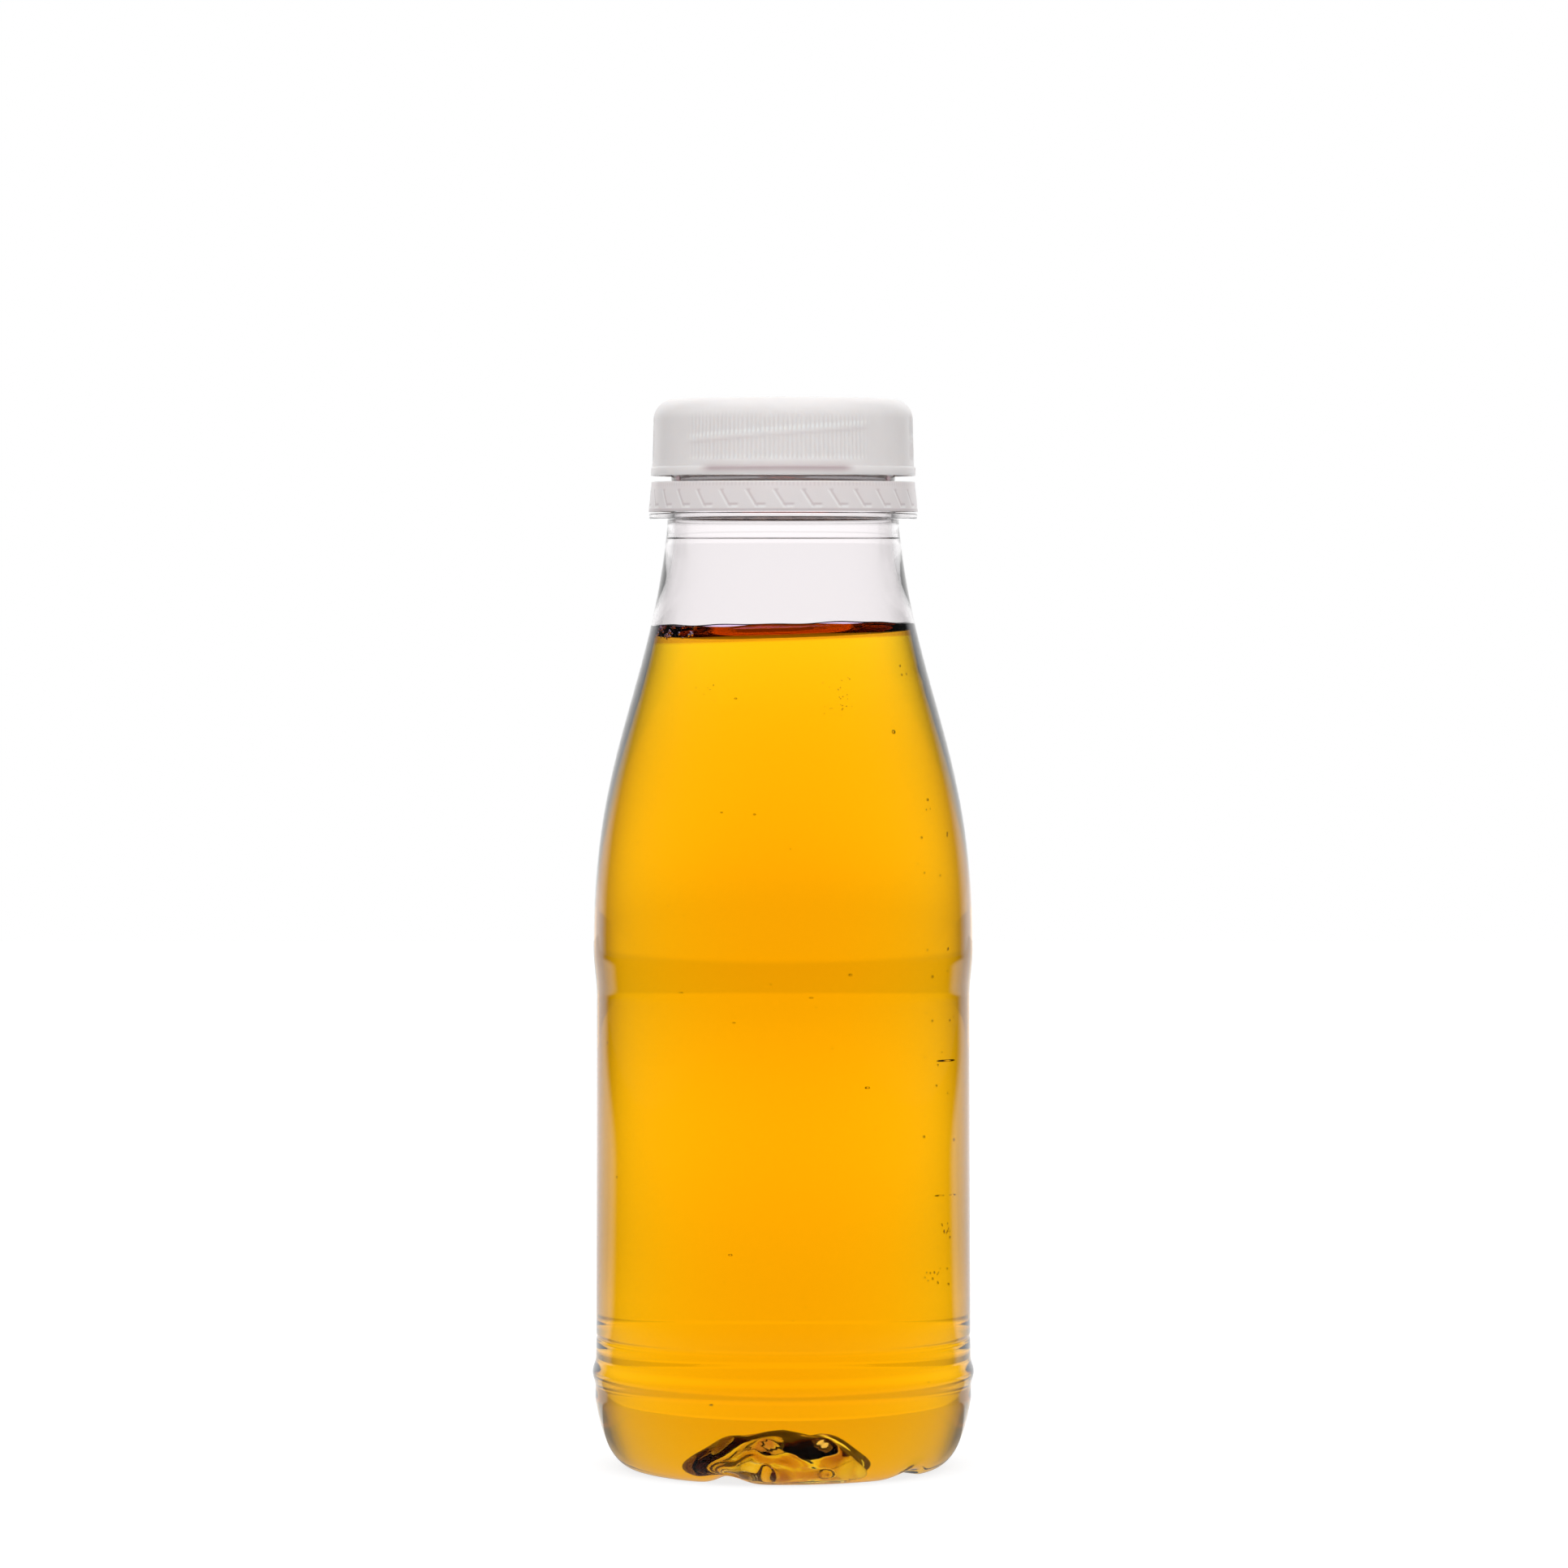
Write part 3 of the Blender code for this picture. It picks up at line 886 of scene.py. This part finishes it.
@dataclass
class JuiceBody:
    """The juice: it fills the bottle just into its wall and climbs it at its edge.

    The climb waves are each a number of waves round the edge, where they start, and their
    share. The hub and the patches are the places of the base that have painted shade.
    """

    body: Body
    finish: AmberJuice = field(default_factory=AmberJuice)
    columns: int = 240
    sink: float = 0.06
    level: float = 131.6
    tilt_deg: float = 2.0
    climb: float = 2.65
    climb_lean: float = 0.18
    climb_length: float = 2.0
    climb_waves: tuple = ((3, 0.6, 1.0), (7, 2.1, 0.7), (13, 4.0, 0.5))
    climb_unevenness: float = 0.05
    wall_rows: int = 14
    rim_rows: int = 8
    surface_rows: int = 40
    free_height: float = 118.0
    hub_radius: float = 3.7
    hub_shade: float = 0.9
    patch_shade: float = 0.6
    clusters: tuple = (
        BubbleCluster(43.8, 117.4, 0.0, 0.0, 1, 0.32, 0.33),
        BubbleCluster(57.0, 83.0, 9.0, 30.0, 22, 0.10, 0.24),
        BubbleCluster(60.0, 39.0, 3.0, 1.2, 12, 0.10, 0.22),
        BubbleCluster(56.0, 32.0, 7.0, 1.6, 14, 0.10, 0.22),
        BubbleCluster(22.0, 123.0, 7.0, 3.0, 26, 0.07, 0.12),
        BubbleCluster(56.0, 126.6, 3.0, 1.4, 3, 0.16, 0.24),
        BubbleCluster(-57.0, 132.9, 15.0, 0.9, 36, 0.14, 0.34),
        BubbleCluster(-33.0, 124.0, 6.0, 2.0, 6, 0.07, 0.12),
        BubbleCluster(-21.7, 13.0, 1.1, 0.1, 3, 0.12, 0.2),
        BubbleCluster(0.0, 60.0, 60.0, 45.0, 26, 0.05, 0.11),
        BubbleCluster(180.0, 80.0, 120.0, 50.0, 50, 0.06, 0.2),
    )

    def radius_at(self, height: np.ndarray) -> np.ndarray:
        """Radius of the juice's side at a height above the heel."""
        radius, heights = self.body.inside(self.sink).T
        side = heights > self.body.heel_top
        return np.interp(height, heights[side], radius[side])

    def flat_level(self, radius: np.ndarray, angle: np.ndarray) -> np.ndarray:
        """Height of the tilted surface away from the wall."""
        return self.level + np.tan(np.radians(self.tilt_deg)) * radius * np.sin(angle)

    def climb_at(self, angle: np.ndarray) -> np.ndarray:
        """How far the surface climbs the wall: more on the left, with uneven waves."""
        waves = sum(part * np.sin(count * angle + start) for count, start, part in self.climb_waves)
        uneven = self.climb_unevenness * waves
        return self.climb * (1.0 - self.climb_lean * np.sin(angle) + uneven)

    def top_at(self, angle: np.ndarray) -> np.ndarray:
        """Height where the surface meets the wall."""
        return self.flat_level(self.radius_at(self.level), angle) + self.climb_at(angle)

    def side_and_surface(self) -> Skin:
        """The juice's closed skin.

        The side follows the wall up to where the surface meets it. The surface falls from
        there towards the axis: its height is the flat level plus the climb times e to the
        power of minus the distance from the wall over the climb's length.
        """
        angle = self.body.angles(self.columns)
        path = self.body.inside(self.sink)
        path = path[path[:, 1] < self.free_height]
        low = self.body.wrapped(path, angle, 1.0)
        top = self.top_at(angle)[None]
        line = self.flat_level(self.radius_at(self.level), angle)[None]
        wall = steps_up(0.0, 1.0, self.wall_rows)[:, None]
        climb = steps_up(0.0, 1.0, self.rim_rows)[:, None]
        start = path[-1, 1]
        height = np.concatenate([start + wall * (line - start), line + climb * (top - line)])
        side_radius = self.radius_at(height) + self.body.waves(height, angle[None])
        high = around(side_radius, height, angle[None])
        rim = side_radius[-1:]
        inwards = steps_up(0.0, 1.0, self.surface_rows)[:, None] ** 2
        radius = rim * (1.0 - inwards)
        fall = np.exp(-(rim - radius) / self.climb_length)
        height = self.flat_level(radius, angle[None]) + self.climb_at(angle)[None] * fall
        height[-1] = height[-1].mean()
        surface = around(radius, height, angle[None])
        tone = np.zeros((len(low) + len(high) + len(surface), len(angle)))
        # Painted shade over the base's hub and raised patches.
        tone[: len(low)] = self.painted_base_shade(path, angle)
        # Painted shade on the band where the juice climbs the wall.
        climb_shade_start = len(low) + self.wall_rows
        tone[climb_shade_start : climb_shade_start + self.rim_rows] = 1.0
        return Skin.from_grid(np.concatenate([low, high, surface]), tone=tone)

    def painted_base_shade(self, path: np.ndarray, angle: np.ndarray) -> np.ndarray:
        """Painted shade over the base: one round hub, and soft patches where the base is raised."""
        radius, height = path[:, :1], path[:, 1:]
        patches = np.clip(self.body.hammered(radius, angle[None]) / self.body.hammer, 0.0, None)
        hub = 1.0 - eased(radius, self.hub_radius - 0.4, self.hub_radius + 0.4)
        tone = self.patch_shade * patches + self.hub_shade * hub
        return tone * (height < self.body.heel_top)

    def bubbles(self) -> Skin:
        """Bubbles of air on the wall, as hollows in the juice that only just miss it."""
        draw = np.random.default_rng(5)
        spots = []
        for cluster in self.clusters:
            count = cluster.count
            angle = cluster.angle + cluster.spread_angle * draw.uniform(-1.0, 1.0, count)
            height = cluster.height + cluster.spread_height * draw.uniform(-1.0, 1.0, count)
            size = draw.uniform(cluster.smallest, cluster.largest, count)
            spots.append([angle, height, size])
        angle, height, size = np.concatenate(spots, axis=1)
        angle = np.radians(angle)
        wall = self.radius_at(height) + self.body.waves(height, angle)
        centre = around(wall - self.sink - 1.15 * size - 0.03, height, angle)
        shape = ball(8, 12, inward=True)
        return shape.copies(centre[:, None] + size[:, None, None] * shape.points[None])

    def build(self) -> bpy.types.Object:
        """Builds the juice with its bubbles as one piece."""
        made = piece("juice_body", [self.side_and_surface(), self.bubbles()], self.finish.make())
        install(made, Slot.JUICE, "juice")
        return made


@dataclass
class ScrewCap:
    """The milky cap: panels of fine grip ribs, a smooth seam across them and a collar below.

    The sizes with "tone" in their names say how deep a painted shade is, or below zero how
    pale a painted highlight is.
    """

    columns: int = 900
    ribs: int = 180
    rib_depth: float = 0.13
    rib_low: float = 160.0
    rib_high: float = 168.2
    panels: int = 3
    panel_turn_deg: float = -3.0
    panel_half_deg: float = 42.0
    seam_height: float = 164.15
    seam_slope: float = 0.026
    seam_half_width: float = 0.75
    bead_height: float = 158.75
    bead_half_width: float = 0.8
    top: float = 169.9
    crown: float = 0.3
    corner: float = 3.2
    high_radius: float = 20.58
    low_radius: float = 20.78
    collar_radius: float = 21.0
    collar_top: float = 159.0
    low: float = 157.75
    inner_radius: float = 19.25
    roof: float = 168.4
    inner_corner: float = 0.8
    # Strengths of painted shade, above zero, and of painted highlights, below zero, on the skirt.
    bead_shade_tone: float = 0.65
    bead_shade_half_deg: float = 33.0
    seam_shadow_tone: float = 0.12
    rib_end_highlight_tone: float = -0.30
    rib_foot_highlight_tone: float = -0.15
    rib_shade_and_highlight_tone: float = 0.05
    thread: Thread = field(
        default_factory=lambda: Thread(
            low=161.45, height=0.85, root_width=1.2, crest_width=0.4, first_deg=-60.0
        )
    )
    finish: MilkyPlastic = field(default_factory=lambda: MilkyPlastic("milky_cap_plastic"))

    def outside(self) -> np.ndarray:
        """Radius and height from the collar's lower edge up to the middle of the top."""
        collar = [
            (self.inner_radius + 0.7, self.low),
            (self.collar_radius, self.low),
            (self.collar_radius, self.collar_top),
            (self.low_radius, self.collar_top + 0.2),
            (self.low_radius - 0.02, self.rib_low),
        ]
        turn = np.linspace(0.0, 0.5 * np.pi, 13)
        flat = self.high_radius - self.corner
        bend = np.stack([np.cos(turn), np.sin(turn)], axis=1) * self.corner
        bend += (flat, self.top - self.corner)
        start = (self.low_radius - 0.03, self.rib_low + 0.1)
        side = spaced(np.array([start, bend[0]]), 0.35)[:-1]
        radius = steps_up(flat, 0.0, 11)
        rise = self.crown * (1.0 - (radius / flat) ** 2)
        crown = np.stack([radius, self.top + rise], axis=1)
        return np.concatenate([filleted(collar, 0.15), side, bend, crown])

    def inside(self) -> np.ndarray:
        """Radius and height from the middle of the roof down to the inner lower edge."""
        corners = [
            (0.0, self.roof),
            (self.inner_radius, self.roof),
            (self.inner_radius, self.low + 0.3),
            (self.inner_radius + 0.5, self.low),
        ]
        path = filleted(corners, self.inner_corner, 5)
        wall = np.abs(path[:, 0] - self.inner_radius) < 1e-6
        corner = path[~wall & (path[:, 1] > self.roof - 1.0)]
        return np.concatenate([corner, spaced(path[wall], 0.3), path[-1:]])

    def panel(self, angle: np.ndarray, half_deg: float) -> np.ndarray:
        """One inside a grip panel and zero between two, eased over a few degrees."""
        turn = self.panels * (angle - np.radians(self.panel_turn_deg))
        edges = np.cos(np.radians(self.panels * np.array([half_deg + 4.0, half_deg - 4.0])))
        return eased(np.cos(turn), *edges)

    def above_seam(self, height: np.ndarray, angle: np.ndarray) -> np.ndarray:
        """Height above the middle of the seam, which climbs steadily across each panel."""
        spread = 360.0 / self.panels
        turn = (np.degrees(angle) + 0.5 * spread) % spread - 0.5 * spread
        return height - self.seam_height - self.seam_slope * turn

    def crest(self, angle: np.ndarray) -> np.ndarray:
        """Raised cosine round the cap: zero in the valleys between the ribs, one on them."""
        return 0.5 - 0.5 * np.cos(self.ribs * angle)

    def rib(self, height: np.ndarray, angle: np.ndarray) -> np.ndarray:
        """Depth of the valleys between the ribs: none at their ends and on the seam."""
        ends = (self.rib_low, self.rib_low + 0.4), (self.rib_high - 2.4, self.rib_high)
        seam = bump(self.above_seam(height, angle), 0.0, self.seam_half_width)
        along = window(height, *ends) * (1.0 - seam) * self.panel(angle, self.panel_half_deg)
        return self.rib_depth * (1.0 - self.crest(angle)) * along

    def shade(self, height: np.ndarray, angle: np.ndarray) -> np.ndarray:
        """Tone of the skirt: painted light and shade.

        The collar's upper half has a mauve painted shade in the middle of each panel, the seam has
        a fine painted shadow line under it, the ribs' ends just above the seam and their lower ends
        have painted highlights, and the ribs have painted shade in their valleys and painted
        highlights on their crests.
        """
        over = self.above_seam(height, angle)
        crest = self.crest(angle)
        # Painted shade on the collar and under the seam, painted highlights at the ribs' ends, and
        # painted light and shade across the ribs.
        bead = bump(height, self.bead_height, self.bead_half_width)
        bead = self.bead_shade_tone * bead * self.panel(angle, self.bead_shade_half_deg)
        line = self.seam_shadow_tone * bump(over, -0.15, 0.45)
        rib_end_highlights = self.rib_end_highlight_tone * bump(over, 0.85, 0.55) * crest
        feet = self.rib_foot_highlight_tone * bump(height, self.rib_low + 0.5, 0.5) * crest
        ribbed = (height > self.rib_low) & (height < self.rib_high - 1.2)
        ribs = self.rib_shade_and_highlight_tone * (0.5 - crest) * ribbed
        return bead + (line + rib_end_highlights + feet + ribs) * self.panel(angle, self.panel_half_deg)

    def build(self) -> bpy.types.Object:
        """Builds the cap as one closed surface, its top, skirt and inside in one run."""
        angle = turns(self.columns)[None]
        outer = self.outside()
        radius, height = outer[:, :1], outer[:, 1:]
        skirt = (height > self.rib_low) & (radius > self.high_radius - self.corner)
        shell = around(radius - np.where(skirt, self.rib(height, angle), 0.0), height, angle)
        tone = np.where(radius > self.inner_radius, self.shade(height, angle), 0.0)
        inner = self.inside()
        radius, height = inner[:, :1], inner[:, 1:]
        on_wall = np.abs(radius - self.inner_radius) < 1e-6
        ridge = np.where(on_wall, self.thread.rise(height, angle), 0.0)
        hollow = around(radius - ridge, height, angle)
        tone = np.concatenate([np.zeros(hollow.shape[:2]), tone])
        skin = Skin.from_grid(np.concatenate([hollow, shell]), tone=tone)
        made = piece("cap_shell", [skin], self.finish.make())
        install(made, Slot.CLOSURE, "cap")
        return made


@dataclass
class TamperBand:
    """The band under the cap, with folded flaps inside it and bridges on its top edge.

    The wall is thinned between its rims. A bridge's size is its width, depth and height.
    The sizes with "tone" in their names say how deep a painted shade or mark is, or below
    zero how pale a painted highlight is.
    """

    columns: int = 720
    fine: float = 0.16
    top: float = 156.8
    low: float = 152.05
    top_radius: float = 20.9
    low_radius: float = 21.39
    wall: float = 1.0
    thinned: float = 0.35
    bridge_degrees: tuple = (54.0, 126.0, 234.0, 306.0)
    bridge_size: tuple = (0.9, 0.6, 0.8)
    bridge_roundness: float = 0.6
    bridge_top: float = 157.6
    flaps: int = 30
    first_flap_deg: float = -4.5
    flap_turn_deg: float = 4.6
    flap_lean_deg: float = -5.0
    flap_low: float = 152.75
    flap_high: float = 155.4
    flap_thickness: float = 0.3
    flap_slant: float = 0.66
    flap_foot: float = 1.9
    flap_rows: int = 6
    ticks: int = 200
    # Strengths of the flaps' painted shadow and painted highlight, the fine ticks, and the rim's
    # painted shade.
    flap_shadow_tone: float = 0.36
    flap_highlight_tone: float = -0.28
    tick_tone: float = 0.16
    rim_shade_tone: float = 0.36
    finish: MilkyPlastic = field(
        default_factory=lambda: MilkyPlastic(
            "milky_band_plastic", pale=(0.94, 0.885, 0.875), scatter=1.2
        )
    )

    def ring(self) -> Skin:
        """The band: a thin flared wall with a thicker rim at its top and bottom."""
        low_inner = self.low_radius - self.wall
        top_inner = self.top_radius - self.wall
        corners = [
            (low_inner + 0.3, self.low),
            (self.low_radius, self.low),
            (self.top_radius, self.top),
            (top_inner, self.top),
            (top_inner + self.thinned, self.top - 0.9),
            (low_inner + self.thinned, self.low + 0.7),
            (low_inner, self.low + 0.25),
        ]
        path = filleted(corners, 0.12)
        outer = slice(1, 2 + int(np.argmax(path[:, 1])))
        path = np.concatenate([path[:1], spaced(path[outer], self.fine), path[outer.stop :]])
        angle = turns(self.columns)[None]
        radius, height = path[:, :1], path[:, 1:]
        wall = np.interp(height, [self.low, self.top], [self.low_radius, self.top_radius])
        tone = np.where(radius > wall - 0.2, self.shade(height, angle), 0.0)
        return Skin.from_grid(around(radius, height, angle), loop=True, tone=tone)

    def shade(self, height: np.ndarray, angle: np.ndarray) -> np.ndarray:
        """Tone of the band: painted light and shade where the folded flaps inside it would show
        through.

        Each flap is a slanted edge that runs down towards +X and turns into a level foot, a painted
        highlight with a painted shadow line beside it and painted shadow at its head. Fine darker
        ticks run along the band's top, and a painted shade line darkens the rim along its bottom.
        """
        across = (angle - np.radians(self.first_flap_deg)) * self.low_radius
        across = across % (2.0 * np.pi * self.low_radius / self.flaps)
        slant = across - (self.flap_high - height) * self.flap_slant
        rise = self.flap_low - 0.15, self.flap_low + 0.15
        rows = window(height, rise, (self.flap_high - 0.15, self.flap_high + 0.15))
        start = (self.flap_high - self.flap_low) * self.flap_slant
        end = start + self.flap_foot
        foot = window(across, (start - 0.2, start), (end - 0.5, end))
        head = window(across, (0.0, 0.3), (0.7, 1.1)) * bump(height, self.flap_high, 0.3)
        low, above = bump(height, self.flap_low, 0.3), bump(height, self.flap_low + 0.42, 0.3)
        # Painted highlight along each flap's edge and foot, and painted shadow beside it.
        pale = np.maximum(rows * bump(slant, 0.0, 0.3), foot * low)
        deep = np.maximum(rows * bump(slant, 0.42, 0.34), foot * above)
        deep = np.maximum(deep, 0.8 * head)
        ticks = (0.5 - 0.5 * np.cos(self.ticks * angle)) * bump(height, self.top - 0.45, 0.6)
        rim = bump(height, self.low + 0.25, 0.3)
        flap_light_and_shade = self.flap_shadow_tone * deep + self.flap_highlight_tone * pale
        return flap_light_and_shade + self.tick_tone * ticks + self.rim_shade_tone * rim

    def plates(self, angle: np.ndarray) -> Skin:
        """Curved plates, one for each start angle.

        Each plate is a closed grid: rows run up it, and columns run round its section, a
        flat loop of eight points. A point's angle changes with its height by the lean.
        """
        rows = np.linspace(0.0, 1.0, self.flap_rows + 1)[:, None]
        width = np.radians(self.flap_turn_deg) * 0.5
        across = np.array([-1.0, -0.9, 0.0, 0.9, 1.0, 0.9, 0.0, -0.9])
        through = np.array([0.0, -1.0, -1.0, -1.0, 0.0, 1.0, 1.0, 1.0])
        height = self.flap_low + (self.flap_high - self.flap_low) * rows
        radius = self.low_radius - self.wall - 0.35 - 0.3 * rows
        side = across * width - np.radians(self.flap_lean_deg) * (rows - 0.5)
        deep = radius + 0.5 * self.flap_thickness * through
        flat = np.stack(np.broadcast_arrays(side, deep, height), axis=-1)
        ends = flat[[0, -1]].mean(axis=1, keepdims=True).repeat(len(across), axis=1)
        shape = Skin.from_grid(np.concatenate([ends[:1], flat, ends[1:]]))
        side, deep, height = shape.points.T
        points = around(deep, height, side + angle[:, None])
        return shape.copies(points)

    def posts(self) -> Skin:
        """The bridges: small rounded posts between the band and the cap, with painted shade all
        over.
        """
        shape = ball(6, 8)
        radius = self.top_radius - 0.5 * self.wall
        spots = np.sign(shape.points) * np.abs(shape.points) ** self.bridge_roundness
        side, deep, high = 0.5 * spots.T * np.array(self.bridge_size)[:, None]
        turn = np.radians(self.bridge_degrees)[:, None] + side / radius
        height = self.bridge_top - 0.5 * self.bridge_size[2] + high
        made = shape.copies(around(radius + deep, height, turn))
        # Painted shade: the posts take the dark colour all over, as they sit in the gap's shadow.
        made.tone = np.ones(len(made.points))
        return made

    def build(self) -> bpy.types.Object:
        """Builds the ring, its flaps and its bridges as one piece."""
        angle = np.radians(self.first_flap_deg) + turns(self.flaps)
        skins = [self.ring(), self.plates(angle), self.posts()]
        made = piece("band_shell", skins, self.finish.make())
        install(made, Slot.CLOSURE, "tamper_band")
        return made


@dataclass(frozen=True)
class Studio:
    """Camera, floor and soft light, all fixed in the room.

    What bends through the bottle or is mirrored in it sees a bright backdrop and table with
    dark sides; matt surfaces get a soft light from all round; straight to the camera, both
    backdrop and table are plain white.

    A pair of numbers is where a light starts and where it is full: a direction's cosine to
    the front or back, its height, or a distance from the bottle in metres. Where two more
    follow, they are the levels before and after.
    """

    camera_distance: float = 1139.0
    camera_height: float = 143.2
    camera_side: float = 0.13
    camera_pitch_deg: float = 1.73
    lens: float = 164.5
    sensor: float = 36.0
    table_half_width: float = 840.0
    table_half_length: float = 1600.0
    table_drop: float = 0.02
    backdrop_low: float = 0.20
    backdrop_gain: float = 1.11
    backdrop_edge: tuple = (0.47, 0.83)
    side_edge: tuple = (0.36, 0.48)
    horizon: tuple = (-0.024, -0.008)
    horizon_drop: float = 0.12
    roof_edge: tuple = (0.10, 0.45)
    dim: float = 0.28
    mirrored_edge: tuple = (0.68, 0.86)
    mirrored_roof_edge: tuple = (0.78, 0.95)
    mirrored_share: float = 0.78
    dark: float = 0.06
    sunk_light: float = 0.45
    soft_low: float = 0.55
    soft_high: float = 1.02
    soft_edge: tuple = (-0.2, 0.9)
    soft_front: float = 1.65
    soft_front_edge: tuple = (-1.0, -0.3)
    table_glow: float = 0.55
    table_plain: float = 0.8
    table_matt: float = 0.3
    table_fade: tuple = (0.08, 0.40)
    table_peak: float = 0.12
    table_peak_span: tuple = (0.25, 0.67, 1.25)
    under_bottle: tuple = (0.015, 0.12, 1.25, 1.0)
    table_low: float = 0.30
    table_sides: tuple = (0.30, 0.90)
    table_ends: tuple = (0.15, 0.45)
    table_even: tuple = (0.10, 0.25)
    table_edge: tuple = (0.49, 0.63)
    table_edge_shift: tuple = (0.60, 1.05, 0.0, 0.20)
    near_table: tuple = (0.08, 0.30, 0.25, 0.0)

    def camera(self) -> None:
        """Places the camera as far and as high as the photograph's."""
        data = bpy.data.cameras.new("camera")
        data.sensor_width = self.sensor
        data.lens = self.lens
        data.clip_start = 0.01
        data.clip_end = 10.0
        made = bpy.data.objects.new("camera", data)
        made.location = Vector((self.camera_side, -self.camera_distance, self.camera_height)) * MM
        made.rotation_euler = (np.radians(90.0 - self.camera_pitch_deg), 0.0, 0.0)
        bpy.context.scene.collection.objects.link(made)
        bpy.context.scene.camera = made

    def backdrop(self, graph: Graph, cosine: object) -> bpy.types.NodeSocket:
        """Brightness that grows with the cosine of the angle to the nearest wall's middle."""
        return graph.plus(graph.times(cosine, self.backdrop_gain), self.backdrop_low)

    def bearings(self, graph: Graph, x: object, y: object) -> tuple:
        """The distance from the middle, and the cosines of the angles to Y and to X or Y."""
        away = graph.math("SQRT", graph.plus(graph.times(x, x), graph.times(y, y), 1e-6))
        forward, sideways = graph.math("DIVIDE", y, away), graph.math("DIVIDE", x, away)
        return away, forward, graph.most(graph.size(forward), graph.size(sideways))

    def table_light(self, graph: Graph) -> tuple:
        """Brightness of the table as the bottle sees it.

        Near the bottle it is even, and a little brighter right under it. Further off it
        is the backdrop's brightness for the same direction, with a soft peak on the way.

        Returns:
            The brightness, and the same with what lies to the sides and in front left dark.
        """
        place = graph.node("TexCoord").outputs["Object"]
        x, y, _ = graph.node("SeparateXYZ", {"Vector": place}).outputs
        away, forward, nearest = self.bearings(graph, x, y)
        missing = graph.math("SUBTRACT", 1.0, nearest)
        missing = graph.times(missing, graph.eased(away, *self.table_fade))
        glow = self.backdrop(graph, graph.math("SUBTRACT", 1.0, missing))
        low, middle, high = self.table_peak_span
        peak = 1.0 + self.table_peak
        rise = graph.eased(away, low, middle, 1.0, peak)
        fall = graph.eased(away, middle, high, 1.0, 1.0 / peak)
        glow = graph.times(glow, rise, fall, graph.eased(away, *self.under_bottle))
        either = graph.size(forward)
        sides = graph.most(
            graph.eased(either, *self.table_sides),
            self.table_low,
            graph.eased(either, *self.table_ends, 1.0, 0.0),
            graph.eased(away, *self.table_even, 1.0, 0.0),
        )
        further = graph.eased(away, *self.table_edge_shift)
        turned_away = graph.math("SUBTRACT", forward, further)
        seen = graph.eased(turned_away, *self.table_edge, 0.0, self.mirrored_share)
        seen = graph.most(seen, graph.eased(away, *self.near_table))
        return graph.times(glow, sides), graph.times(glow, seen)

    def floor(self) -> None:
        """A long white table under the bottle."""
        across = self.table_half_width * np.array([-1.0, 1.0, 1.0, -1.0])
        along = self.table_half_length * np.array([-1.0, -1.0, 1.0, 1.0])
        corners = np.stack([across, along, np.full(4, -self.table_drop)], axis=1)
        made, graph = material("white_table")
        path = graph.node("LightPath").outputs
        levels = *self.table_light(graph), self.sunk_light, self.table_glow
        lit = graph.node("Emission", {"Strength": graph.by_kind(path, *levels)})
        white = graph.node("Emission", {"Strength": self.table_plain})
        matt = graph.node("BsdfDiffuse", {"Color": (*[self.table_matt] * 3, 1.0)})
        plain = graph.node("AddShader", {0: white.outputs[0], 1: matt.outputs[0]})
        ends = {1: lit.outputs[0], 2: plain.outputs[0]}
        both = graph.node("MixShader", {0: path["Is Camera Ray"]} | ends)
        graph.node("OutputMaterial", {"Surface": both.outputs[0]})
        piece("floor", [Skin(corners, [[0, 1, 2, 3]])], made)

    def world(self) -> None:
        """Soft light from all round, with a bright backdrop and dark sides."""
        scene = bpy.context.scene
        scene.world = bpy.data.worlds.new("soft_studio")
        scene.world.use_nodes = True
        graph = Graph(scene.world.node_tree)
        place = graph.node("TexCoord").outputs["Generated"]
        x, y, z = graph.node("SeparateXYZ", {"Vector": place}).outputs
        _, forward, nearest = self.bearings(graph, x, y)
        lower = graph.eased(z, *self.horizon, 1.0, 1.0 - self.horizon_drop)
        glow = graph.times(self.backdrop(graph, nearest), lower)
        either = graph.size(forward)
        walls = graph.eased(either, *self.backdrop_edge)
        ends = graph.eased(either, *self.side_edge, 1.0, 0.0)
        back = graph.times(glow, graph.most(walls, ends))
        through = graph.most(back, graph.eased(z, *self.roof_edge), self.dim)
        behind = graph.times(glow, graph.eased(forward, *self.mirrored_edge))
        mirrored = graph.most(behind, graph.eased(z, *self.mirrored_roof_edge), self.dark)
        above = graph.eased(z, *self.soft_edge, self.soft_low, self.soft_high)
        front = graph.eased(forward, *self.soft_front_edge, self.soft_front, 1.0)
        levels = through, mirrored, self.sunk_light, graph.times(above, front)
        path = graph.node("LightPath").outputs
        level = graph.plus(graph.by_kind(path, *levels), path["Is Camera Ray"])
        light = graph.node("Background", {"Color": (1.0, 1.0, 1.0, 1.0), "Strength": level})
        graph.node("OutputWorld", {"Surface": light.outputs[0]})
        scene.view_settings.view_transform = "Standard"

    def build(self) -> None:
        """Builds the camera, the floor and the light."""
        self.camera()
        self.floor()
        self.world()


def main() -> None:
    """Builds the room and every piece."""
    logging.basicConfig(level=logging.INFO, format="%(name)s %(message)s")
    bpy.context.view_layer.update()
    Studio().build()
    body = Body()
    BottleShell(body).build()
    JuiceBody(body).build()
    ScrewCap().build()
    TamperBand().build()


if __name__ == "__main__":
    main()
